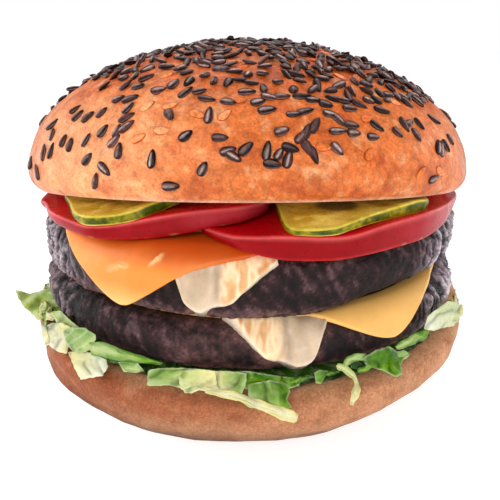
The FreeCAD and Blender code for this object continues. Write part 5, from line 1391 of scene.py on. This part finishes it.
def leaf(line, width, facing, tone, rng, ruffle=0.8, waves=3.0, thick=0.42, n=44, m=13, curl=0.0, ragged=0.25):
    """Ruffled strip along line; facing is the direction its broad side looks to."""
    line = spline(line, n)
    width = np.interp(np.linspace(0, 1, n), np.linspace(0, 1, len(width)), width)
    facing = spline(facing, n)
    t = np.gradient(line, axis=0)
    t /= np.linalg.norm(t, axis=1)[:, None] + 1e-9
    f = facing - t * (facing * t).sum(1)[:, None]
    f /= np.linalg.norm(f, axis=1)[:, None] + 1e-9
    w = np.cross(f, t)
    u = np.linspace(0, 1, n)
    vv = np.linspace(-1, 1, m)
    seed = 500 + leaf_count[0] * 7
    leaf_count[0] += 1
    q = np.stack([np.repeat(u[:, None] * 6, m, 1), np.repeat(vv[None], n, 0) * 1.5, np.full((n, m), seed * 0.37)], -1).reshape(-1, 3)
    nz = fbm(q, seed, 3).reshape(n, m)
    rag = fbm(np.stack([u * 9, 0 * u, np.full(n, seed * 0.7)], -1), seed + 1, 3)
    rag2 = fbm(np.stack([u * 9, 0 * u + 5, np.full(n, seed * 0.7)], -1), seed + 2, 3)
    side_a, side_b = 1 + ragged * rag, 1 + ragged * rag2
    reach = np.where(vv[None] < 0, vv[None] * side_a[:, None], vv[None] * side_b[:, None]) * width[:, None] / 2
    ph = rng.uniform(0, 6.28)
    wav = np.sin(u[:, None] * waves * 6.28 + ph + 1.2 * vv[None]) * (0.25 + 0.75 * np.abs(vv[None])) * ruffle
    lift = wav + nz * ruffle * 0.9 + curl * vv[None] ** 2 * width[:, None]
    mid = line[:, None] + w[:, None] * reach[..., None] + f[:, None] * lift[..., None]
    gu = np.gradient(mid, axis=0)
    gv = np.gradient(mid, axis=1)
    nn = np.cross(gv, gu)
    nn /= np.linalg.norm(nn, axis=2)[..., None] + 1e-9
    eu = np.minimum(u, 1 - u)[:, None] / 0.05
    ev = (1 - np.abs(vv))[None] / 0.2
    th = thick * (0.35 + 0.65 * np.clip(np.minimum(eu, ev), 0, 1))
    rib = np.exp(-(vv / 0.22) ** 2)[None] * thick * 0.7
    a = mid + nn * (th / 2 + rib)[..., None]
    b = mid - nn * (th / 2)[..., None]
    start = sum(len(x) for x in LEAF_V)
    LEAF_V.append(np.concatenate([a.reshape(-1, 3), b.reshape(-1, 3)]))
    idx = np.arange(n * m).reshape(n, m)
    ring = np.concatenate([idx[:, 0], idx[-1, 1:], idx[-2::-1, -1], idx[0, -2:0:-1]])
    F_ = list(grid_faces(n, m, False, False, start)) + list(grid_faces(n, m, False, False, start + n * m, True))
    k = len(ring)
    F_ += [(ring[(i + 1) % k] + start, ring[i] + start, ring[i] + n * m + start, ring[(i + 1) % k] + n * m + start) for i in range(k)]
    LEAF_F.extend(F_)
    c0, c1 = (GREENS[x] for x in tone) if not isinstance(tone, str) else (GREENS[tone], GREENS[tone])
    along = smooth(0.15, 0.85, u[:, None] + 0.25 * nz)
    inner = mix(np.broadcast_to(c0[0], (n, m, 3)), np.broadcast_to(c1[0], (n, m, 3)), along)
    outer = mix(np.broadcast_to(c0[1], (n, m, 3)), np.broadcast_to(c1[1], (n, m, 3)), along)
    e = smooth(0.1, 0.95, np.abs(vv)[None] + 0.5 * nz)
    c = mix(inner, outer, e)
    vein = np.exp(-((np.sin(u[:, None] * 22 + 6 * np.abs(vv)[None]) - 0.9) / 0.25) ** 2) * 0.18
    c = mix(c, np.broadcast_to(lin(240, 244, 200), (n, m, 3)), vein)
    c = c.reshape(-1, 3)
    # the back face is a darker copy: painted shade
    LEAF_C.append(np.concatenate([c, c * 0.92]))


def leaf_px(pts, tone, rng, out=0.6, **kw):
    """Strip given by sight: (x, y, width in picture units) along it, laid on the skirt of the stack."""
    line, width, face = [], [], []
    for row in pts:
        px, py, wpx = row[:3]
        o = row[3] if len(row) > 3 else out
        p = strike(px, py, lambda q: skirt(q) - o)
        if p is None:
            continue
        n = skirt_normal(p)
        _, _, dep = project(p)
        line.append(p)
        width.append(wpx * dep / FOCAL)
        face.append(0.55 * n + 0.45 * (CAM - p) / np.linalg.norm(CAM - p))
    if len(line) >= 2:
        leaf(line, width, face, tone, rng, **kw)


def leaf_shape(poly, tone, out=1.0, wave=0.45, thick=0.5, plane=None, centre=None, vein=0.0, n=110, m=16, grain=None, pleat=15.0):
    """Piece of leaf whose outline is given by sight, laid out mm off the skirt of the stack or on a plane (point, normal)."""
    poly = np.asarray(poly, float)
    c = poly.mean(0) if centre is None else np.asarray(centre, float)
    seed = 900 + leaf_count[0] * 7
    leaf_count[0] += 1
    ring = np.vstack([poly, poly[:1]])
    ln = np.concatenate([[0], np.cumsum(np.hypot(*np.diff(ring, axis=0).T))])
    w = np.linspace(0, ln[-1], 500, endpoint=False)
    o = np.stack([np.interp(w, ln, ring[:, 0]), np.interp(w, ln, ring[:, 1])], 1)
    k = np.hanning(13)
    k /= k.sum()
    o = np.stack([np.convolve(np.concatenate([o[-6:, j], o[:, j], o[:6, j]]), k, "valid") for j in (0, 1)], 1)
    rag = fbm(np.stack([o[:, 0] / 4.0, o[:, 1] / 4.0, np.full(500, seed * 0.31)], 1), seed, 2)
    rel = o - c
    rel = rel * (1 + 0.06 * rag[:, None])
    ang = np.arctan2(rel[:, 1], rel[:, 0])
    order = np.argsort(ang)
    th = np.linspace(-np.pi, np.pi, n, endpoint=False)
    reach = np.interp(th, np.concatenate([ang[order] - 2 * np.pi, ang[order], ang[order] + 2 * np.pi]), np.tile(np.hypot(*rel.T)[order], 3))
    s_ = np.concatenate([[0.0], np.linspace(0, 1, m + 1)[1:]])
    px = c[0] + np.outer(reach * np.cos(th), s_)
    py = c[1] + np.outer(reach * np.sin(th), s_)
    fx, fy = px.ravel(), py.ravel()
    d = FWD[None] + RGT[None] * ((fx - 250) / FOCAL)[:, None] + UPV[None] * ((MID_Y - fy) / FOCAL)[:, None]
    d /= np.linalg.norm(d, axis=1)[:, None]
    q = np.stack([fx / 13.0, fy / 13.0, np.full(len(fx), seed * 0.17)], 1)
    soft = fbm(q, seed + 1, 3)
    run = math.radians(115 + 50 * math.sin(seed) if grain is None else grain)
    cross = -math.sin(run) * (fx - c[0]) + math.cos(run) * (fy - c[1])
    turn = (cross / pleat + 0.9 * fbm(q * 0.55, seed + 5, 2) + 0.37 * seed) % 1.0
    crest = (1 - 4 * np.abs(turn - 0.5)) * smooth(-0.45, 0.35, fbm(q * 0.7 + 3, seed + 9, 2))
    fold = 0.75 * soft + 0.4 * crest
    if plane is None:
        t = np.linspace(95, 200, 420)
        P = CAM[None, None] + d[:, None] * t[None, :, None]
        val = np.hypot(P[..., 0], P[..., 1]) - (np.interp(P[..., 2], SK_Z, SK_R) + (out + 0.9 * wave * fold)[:, None])
        hit = (val[:, 1:] <= 0) & (val[:, :-1] > 0)
        first = np.where(hit.any(1), hit.argmax(1), np.argmin(np.abs(val[:, :-1]), 1))
        v0, v1 = val[np.arange(len(fx)), first], val[np.arange(len(fx)), first + 1]
        fr = np.clip(v0 / (v0 - v1 + 1e-12), 0, 1)
        tt = t[first] + fr * (t[1] - t[0])
    else:
        p0, nn = (np.asarray(x, float) for x in plane)
        tt = ((p0 - CAM) @ nn) / (d @ nn) - wave * fold
    mid = (CAM + d * tt[:, None]).reshape(n, m + 1, 3)
    gu = np.roll(mid, -1, 0) - np.roll(mid, 1, 0)
    gv = np.gradient(mid, axis=1)
    nn = np.cross(gu, gv)
    nn /= np.linalg.norm(nn, axis=2)[..., None] + 1e-9
    for j in range(3):
        nn[:, j] = nn[:, 3].mean(0) * (3 - j) / 3.0 + nn[:, 3] * j / 3.0
    view = (CAM - mid)
    if (nn * view).sum() < 0:
        nn = -nn
    th_ = thick * (0.3 + 0.7 * np.clip((1 - s_) / 0.18, 0, 1))[None, :, None] * np.ones((n, 1, 1))
    a, b = mid + nn * th_ / 2, mid - nn * th_ / 2
    rows = np.concatenate([a[:, 1:], b[:, :0:-1]], 1)
    mm = rows.shape[1]
    start = sum(len(x) for x in LEAF_V)
    LEAF_V.append(np.concatenate([rows.reshape(-1, 3), a[:, 0].mean(0)[None], b[:, 0].mean(0)[None]]))
    F_ = [[int(i) for i in q_] for q_ in grid_faces(n, mm, True, False, start)]
    ca, cb = start + n * mm, start + n * mm + 1
    F_ += [(ca, start + i * mm, start + ((i + 1) % n) * mm) for i in range(n)]
    F_ += [(cb, start + ((i + 1) % n) * mm + mm - 1, start + i * mm + mm - 1) for i in range(n)]
    LEAF_F.extend(F_)
    c0, c1 = GREENS[tone[0]], GREENS[tone[1]]
    span = max(np.ptp(poly[:, 0]), 1.0)
    along = smooth(0.0, 1.0, (px - poly[:, 0].min()) / span + 0.3 * fold.reshape(px.shape))
    inner = mix(np.broadcast_to(c0[0], px.shape + (3,)), np.broadcast_to(c1[0], px.shape + (3,)), along)
    outer = mix(np.broadcast_to(c0[1], px.shape + (3,)), np.broadcast_to(c1[1], px.shape + (3,)), along)
    soft, crest = soft.reshape(px.shape), crest.reshape(px.shape)
    drop = (py - poly[:, 1].min()) / max(np.ptp(poly[:, 1]), 1.0)
    # painted shade: darker towards the top of each piece, lighter lower down
    col = mix(inner, outer, smooth(-0.3, 1.1, 0.95 - drop + 0.8 * soft))
    # painted shade in the valleys of the pleats
    col = mix(col, outer * 0.42, smooth(0.1, -0.8, crest) * 0.75)
    # painted highlight on the crests of the pleats
    col = mix(col, mix(inner, np.broadcast_to(lin(250, 252, 214), px.shape + (3,)), 0.3), smooth(0.25, 1.0, crest) * 0.5)
    if vein:
        line = np.exp(-((np.sin((px * 0.6 + py * 0.8) * 6.28 / vein + 2 * fold.reshape(px.shape)) - 0.95) / 0.3) ** 2)
        col = mix(col, np.broadcast_to(lin(246, 248, 204), px.shape + (3,)), line * 0.3)
    col = mix(col, np.broadcast_to(lin(252, 250, 216), px.shape + (3,)), (smooth(0.86, 1.0, s_)[None, :] * 0.35) * np.ones_like(px))
    # the back face is a darker copy: painted shade
    col = np.concatenate([col[:, 1:], col[:, :0:-1] * 0.9], 1).reshape(-1, 3)
    LEAF_C.append(np.concatenate([col, inner[:1, 0], inner[:1, 0]]))


lr = np.random.default_rng(77)
# the leaves at the front, left to right
leaf_shape([(15, 290), (22, 291), (29, 294), (40, 291), (51, 288), (55, 299), (60, 312), (70, 329), (58, 327), (47, 324), (38, 320), (30, 312), (22, 305)],
           ("olive", "mint"), plane=((-59.0, -16.0, 27.0), (-0.45, -0.75, 0.48)), centre=(44, 308), vein=15, wave=1.0)
leaf_shape([(41, 323), (46, 325), (49, 335), (50, 344), (46, 346), (42, 335)], ("white", "cream"), out=1.2)
leaf_shape([(42, 327), (52, 323), (62, 323), (72, 328), (70, 340), (67, 354), (58, 352), (50, 346), (44, 337)], ("white", "cream"), out=0.7, wave=0.8)
leaf_shape([(50, 312), (60, 310), (70, 320), (80, 328), (72, 333), (60, 328)], ("pale", "mint"), out=-0.4, wave=0.5)
leaf_shape([(63, 331), (72, 327), (85, 328), (96, 335), (95, 343), (91, 350), (82, 353), (74, 353), (67, 344)], ("mint", "mint"), out=1.7, wave=0.9, vein=9)
leaf_shape([(68, 352), (80, 351), (93, 353), (107, 360), (108, 368), (102, 376), (90, 378), (81, 380), (76, 371), (72, 362)], ("cream", "white"), out=1.3, wave=0.9)
leaf_px([(90, 349, 13), (104, 350, 17), (118, 354, 14), (135, 358, 9), (150, 361, 5), (162, 363.5, 1.5)], ("mint", "green"), lr, out=1.9, ruffle=0.3, waves=0.8, ragged=0.08)
leaf_px([(92, 357, 3), (112, 361, 4), (132, 364, 3)], ("dark", "dark"), lr, out=0.9, ruffle=0.2, waves=0.8, ragged=0.08, n=24, m=7)
leaf_shape([(118, 362), (128, 360), (137, 362), (144, 371), (135, 373), (124, 372)], ("mint", "mint"), out=1.5, wave=0.5)
leaf_shape([(148, 370), (160, 368), (181, 368), (200, 369), (206, 378), (198, 386), (184, 389), (169, 385), (156, 386), (147, 386)], ("mint", "pale"), out=1.3, wave=0.9)
leaf_shape([(178, 371), (201, 369), (215, 371), (217, 384), (214, 395), (204, 391), (199, 390), (192, 393), (185, 393), (180, 387)], ("pale", "cream"), out=1.7, wave=1.1)
leaf_shape([(208, 371), (228, 371), (247, 373), (246, 386), (240, 397), (226, 393), (214, 395), (208, 384)], ("cream", "mint"), out=1.5, wave=1.0)
leaf_shape([(226, 372), (247, 371), (266, 374), (285, 377), (301, 378), (298, 386), (289, 389), (275, 391), (260, 391), (245, 389), (232, 383)],
           ("green", "green"), out=0.7, wave=0.9)
leaf_shape([(248, 384), (270, 380), (288, 384), (290, 391), (287, 400), (292, 408), (280, 408), (264, 403), (248, 398)], ("mint", "green"), out=1.3, wave=0.9)
leaf_shape([(236, 396), (250, 398), (262, 402), (257, 408), (250, 408), (241, 402)], ("mint", "mint"), out=1.1, wave=0.3)
leaf_px([(206, 390, 6), (222, 393, 8), (238, 397, 8), (254, 403, 8), (268, 408, 10), (282, 413, 13), (292, 416.5, 12), (298, 418, 6)], ("cream", "cream"), lr,
        out=2.2, ruffle=0.6, waves=3.5, ragged=0.32)
leaf_px([(290, 383, 6), (302, 379, 6), (314, 375.5, 5)], ("green", "dark"), lr, out=0.7, ruffle=0.3, ragged=0.1, n=24, m=7)
leaf_shape([(314, 373), (320, 370), (328, 371), (325, 377), (321, 384), (316, 383)], ("mint", "green"), out=1.2, wave=0.4)
leaf_px([(323, 374, 5), (331, 373, 5), (339, 371, 3)], ("green", "dark"), lr, out=0.5, ruffle=0.3, ragged=0.1, n=24, m=7)
leaf_px([(337, 366, 5), (343, 368, 8), (350, 373, 7), (355, 379, 5), (357, 386, 5), (355, 394, 8), (353, 400, 6), (352, 405, 2)], ("pale", "cream"), lr,
        out=1.9, ruffle=0.5, waves=2.5, ragged=0.3)
leaf_px([(345, 369, 5), (347, 362, 7), (354, 358, 8), (363, 357, 8), (370, 361, 8), (366, 368, 8), (358, 371, 5)], ("mint", "green"), lr, out=1.6, ruffle=0.25, ragged=0.1)
leaf_shape([(350, 362), (358, 361), (362, 365), (357, 369), (351, 368)], ("dark", "dark"), out=0.8, wave=0.3)
leaf_shape([(363, 357), (374, 351), (389, 346), (397, 351), (398, 357), (405, 357), (401, 364), (402, 375), (395, 377), (384, 371), (373, 368), (365, 364)],
           ("green", "green"), out=1.9, wave=1.1)
leaf_shape([(396, 352), (404, 350), (411, 354), (407, 358), (399, 362)], ("mint", "mint"), out=1.4, wave=0.4)
leaf_px([(396, 347, 6), (406, 343, 9), (415, 338, 11), (423, 335, 10), (431, 327, 6)], ("mint", "green"), lr, out=1.2, ruffle=0.3, ragged=0.1)
leaf_shape([(424, 329), (428, 316), (438, 308), (448, 301), (456, 302), (461, 308), (461, 315), (454, 326), (442, 328), (433, 331)], ("white", "pale"), out=2.4, wave=0.8, vein=11)


def on_skirt(deg, z, out):
    r = float(np.interp(z, SK_Z, SK_R))
    a = math.radians(deg)
    p = np.array([r * math.sin(a), -r * math.cos(a), z])
    n = skirt_normal(p)
    return p + n * out, n


# the rest, round the sides and the rear
for k in range(150):
    deg = lr.uniform(62, 298)
    away = min(deg, 360 - deg)
    shy = 1 - smooth(88, 112, away)
    z = lr.uniform(20.8 + 2.8 * shy, 25.4)
    out = lr.uniform(-0.3 - 1.6 * shy, 1.5 - 1.6 * shy)
    ln = lr.uniform(7, 20) * (1 - 0.35 * shy)
    slope = lr.normal(0, 0.28) * (1 - 0.6 * shy)
    pts, face = [], []
    for q in np.linspace(-0.5, 0.5, 5):
        at = deg + q * ln / 60.0 * 57.3
        low = max(15.5 + 6.5 * shy, 25.4 - 8.0 * smooth(10, 20, abs(at - 180)))
        p, n = on_skirt(at, float(np.clip(z + slope * q * ln + lr.normal(0, 0.4), low, 26.2)), out + lr.normal(0, 0.3))
        pts.append(p)
        face.append(n + lr.normal(0, 0.3, 3))
    wd = lr.uniform(2.2, 5.4) * (1 - 0.4 * shy) * (0.6 + 0.4 * smooth(10, 22, abs(deg - 180)))
    tone = [("mint", "green"), ("pale", "mint"), ("cream", "pale"), ("green", "mint"), ("cream", "cream"), ("white", "pale")][int(lr.integers(0, 6))]
    leaf(pts, [wd * 0.35, wd, wd * 1.1, wd * 0.9, wd * 0.3], face, tone, lr, ruffle=lr.uniform(0.2, 0.6), waves=lr.uniform(0.8, 2), ragged=0.15, n=26, m=9)
# the bed they come out of; dark green at the front, as painted shade in the gap under the patty
for k in range(44):
    deg = k * 360.0 / 44 + lr.uniform(-3, 3)
    front = abs((deg + 180) % 360 - 180) < 62
    pts, face = [], []
    for q in np.linspace(-0.5, 0.5, 5):
        a = math.radians(deg + q * 15)
        r = 54.6 + lr.normal(0, 0.5) if front else 56.0 + lr.normal(0, 0.6)
        pts.append(np.array([r * math.sin(a), -r * math.cos(a), 24.9 + lr.normal(0, 0.2)]))
        face.append(np.array([0.3 * math.sin(a), -0.3 * math.cos(a), 0.93]))
    wd = 6.4 if front else 8.6
    leaf(pts, [wd * 0.8, wd, wd * 1.05, wd, wd * 0.8], face, ("dark", "dark") if front else ("green", "dark"), lr, ruffle=0.3, waves=2.0, n=22, m=11)
lettuce = new_object("lettuce_shreds", np.concatenate(LEAF_V), LEAF_F, M_LEAF)
tidy(lettuce)
paint(lettuce, np.concatenate(LEAF_C))
done(lettuce, "base", ["lettuce_frill"])

# ================================================================ carried-over moulded and metal pieces
PLAIN = {
    "frame_plastic": shade("dark_moulding", rough=0.5, spec=0.4, colour=lin(52, 44, 40), mottles=[("noise", 300, 3, 0.9, 1.1)],
                           bumps=[("noise", 3200, 2, 0.12, 0.0001)], rough_by=("noise", 500, 3, 0.42, 0.58)),
    "plate_plastic": shade("base_moulding", rough=0.55, spec=0.35, colour=lin(74, 48, 34), mottles=[("noise", 260, 4, 0.88, 1.12)],
                           bumps=[("noise", 2600, 2, 0.3, 0.00015)], rough_by=("noise", 400, 3, 0.46, 0.64)),
    "lid_plastic": shade("crumb_moulding", rough=0.7, spec=0.3, colour=lin(236, 206, 152), mottles=[("noise", 120, 4, 0.82, 1.1), ("noise", 900, 4, 0.86, 1.1)],
                         bumps=[("cells", 480, 0, 0.35, 0.0006), ("noise", 1500, 3, 0.3, 0.0003)], rough_by=("noise", 500, 3, 0.6, 0.8)),
    "hinge_plastic": shade("hinge_moulding", rough=0.5, spec=0.4, colour=lin(196, 120, 66), mottles=[("noise", 300, 3, 0.9, 1.1)],
                           bumps=[("noise", 2400, 2, 0.15, 0.0001)], rough_by=("noise", 500, 3, 0.42, 0.58)),
    "key_plastic": shade("key_moulding", rough=0.35, spec=0.5, colour=lin(244, 236, 214), mottles=[("noise", 400, 3, 0.96, 1.02)],
                         bumps=[("noise", 4200, 2, 0.06, 0.00006)], rough_by=("noise", 700, 3, 0.3, 0.42)),
    "knob_plastic": shade("knob_moulding", rough=0.45, spec=0.4, colour=lin(30, 28, 28), mottles=[("noise", 500, 3, 0.85, 1.15)],
                          bumps=[("noise", 3600, 2, 0.1, 0.00006)], rough_by=("noise", 700, 3, 0.36, 0.54)),
    "jack_plastic": shade("socket_moulding", rough=0.4, spec=0.5, colour=lin(232, 226, 208), mottles=[("noise", 400, 3, 0.95, 1.03)],
                          bumps=[("noise", 3600, 2, 0.08, 0.00006)], rough_by=("noise", 700, 3, 0.34, 0.48)),
    "contact_metal": shade("gilt_wire", rough=0.25, metal=1.0, colour=lin(232, 190, 96), mottles=[("noise", 1500, 2, 0.92, 1.06)],
                           rough_by=("noise", 900, 2, 0.18, 0.34)),
    "black_rubber": shade("rubber", rough=0.8, spec=0.25, colour=lin(34, 33, 32), mottles=[("noise", 700, 3, 0.8, 1.2)],
                          bumps=[("noise", 3000, 2, 0.2, 0.0001)], rough_by=("noise", 600, 3, 0.7, 0.88)),
    "mat_rubber": shade("silicone", rough=0.6, spec=0.35, colour=lin(150, 152, 156), mottles=[("noise", 500, 3, 0.92, 1.06)],
                        bumps=[("noise", 2600, 2, 0.1, 0.0001)], rough_by=("noise", 600, 3, 0.5, 0.7)),
    "steel": shade("plain_steel", rough=0.32, metal=1.0, colour=lin(176, 178, 180), mottles=[("noise", (400, 400, 4000), 3, 0.85, 1.1)],
                   bumps=[("noise", (600, 600, 6000), 2, 0.06, 0.00005)], rough_by=("noise", 800, 3, 0.24, 0.42)),
    "board": shade("printed_board", rough=0.45, spec=0.5, colour=lin(34, 92, 52), mottles=[("noise", 300, 3, 0.85, 1.12)],
                   bumps=[("noise", 1400, 2, 0.1, 0.0001)], rough_by=("noise", 600, 3, 0.36, 0.52)),
    "component_black": shade("component_moulding", rough=0.5, spec=0.4, colour=lin(28, 28, 30), mottles=[("noise", 600, 3, 0.85, 1.15)],
                             bumps=[("noise", 2600, 2, 0.12, 0.0001)], rough_by=("noise", 600, 3, 0.42, 0.58)),
    "capsule_metal": shade("capsule_can", rough=0.3, metal=1.0, colour=lin(200, 201, 204), mottles=[("noise", (300, 300, 3000), 3, 0.9, 1.06)],
                           rough_by=("noise", 800, 3, 0.22, 0.4)),
    "lead_vinyl": shade("lead_sleeve", rough=0.45, spec=0.4, colour=lin(150, 30, 28), mottles=[("noise", 700, 3, 0.9, 1.1)],
                        rough_by=("noise", 600, 3, 0.38, 0.52)),
    "cheese": shade("bezel_moulding", rough=0.4, spec=0.45, sss=0.12, sss_radius=(1, 0.5, 0.15), sss_scale=0.002, colour=lin(246, 170, 70),
                    mottles=[("noise", 260, 3, 0.94, 1.05)], bumps=[("noise", 2600, 2, 0.08, 0.0001)], rough_by=("noise", 500, 3, 0.34, 0.48)),
}
slot_of = {s["node"]: s["material_slot"] for s in frame["record"]["subparts"]}
for name, ob in NODES.items():
    m = PLAIN.get(slot_of.get(name))
    if m is None:
        continue
    if not ob.material_slots:
        ob.data.materials.append(m)
    for s in ob.material_slots:
        s.material = m

# ---------------------------------------------------------------- numbers on the keys
M_INK = shade("key_print", rough=0.5, spec=0.3, colour=lin(60, 34, 24), mottles=[("noise", 900, 3, 0.85, 1.15)], rough_by=("noise", 900, 2, 0.42, 0.58))
for k, ch in enumerate("123456789*0#"):
    key = {"*": "key_star", "#": "key_hash"}.get(ch, "key_" + ch)
    lo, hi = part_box(key)
    cu = bpy.data.curves.new("print_" + key, "FONT")
    cu.body = ch
    cu.size = 0.0062 if ch != "*" else 0.0085
    cu.align_x = "CENTER"
    cu.align_y = "CENTER"
    cu.extrude = 0.00006
    cu.bevel_depth = 0.00003
    tmp = bpy.data.objects.new("tmp_print", cu)
    SCENE.collection.objects.link(tmp)
    bpy.context.view_layer.update()
    me = bpy.data.meshes.new_from_object(tmp.evaluated_get(bpy.context.evaluated_depsgraph_get()))
    bpy.data.objects.remove(tmp)
    bpy.data.curves.remove(cu)
    ob = bpy.data.objects.new("print_" + key, me)
    me.name = "print_" + key
    SCENE.collection.objects.link(ob)
    co = np.array([v.co for v in me.vertices])
    mid = (co.min(0) + co.max(0)) / 2
    me.transform(Matrix.Translation((float((lo.x + hi.x) / 2 - mid[0]), float((lo.y + hi.y) / 2 - mid[1]), float(hi.z + 0.00007))))
    me.materials.clear()
    me.materials.append(M_INK)
    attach(ob, "body_" + key)
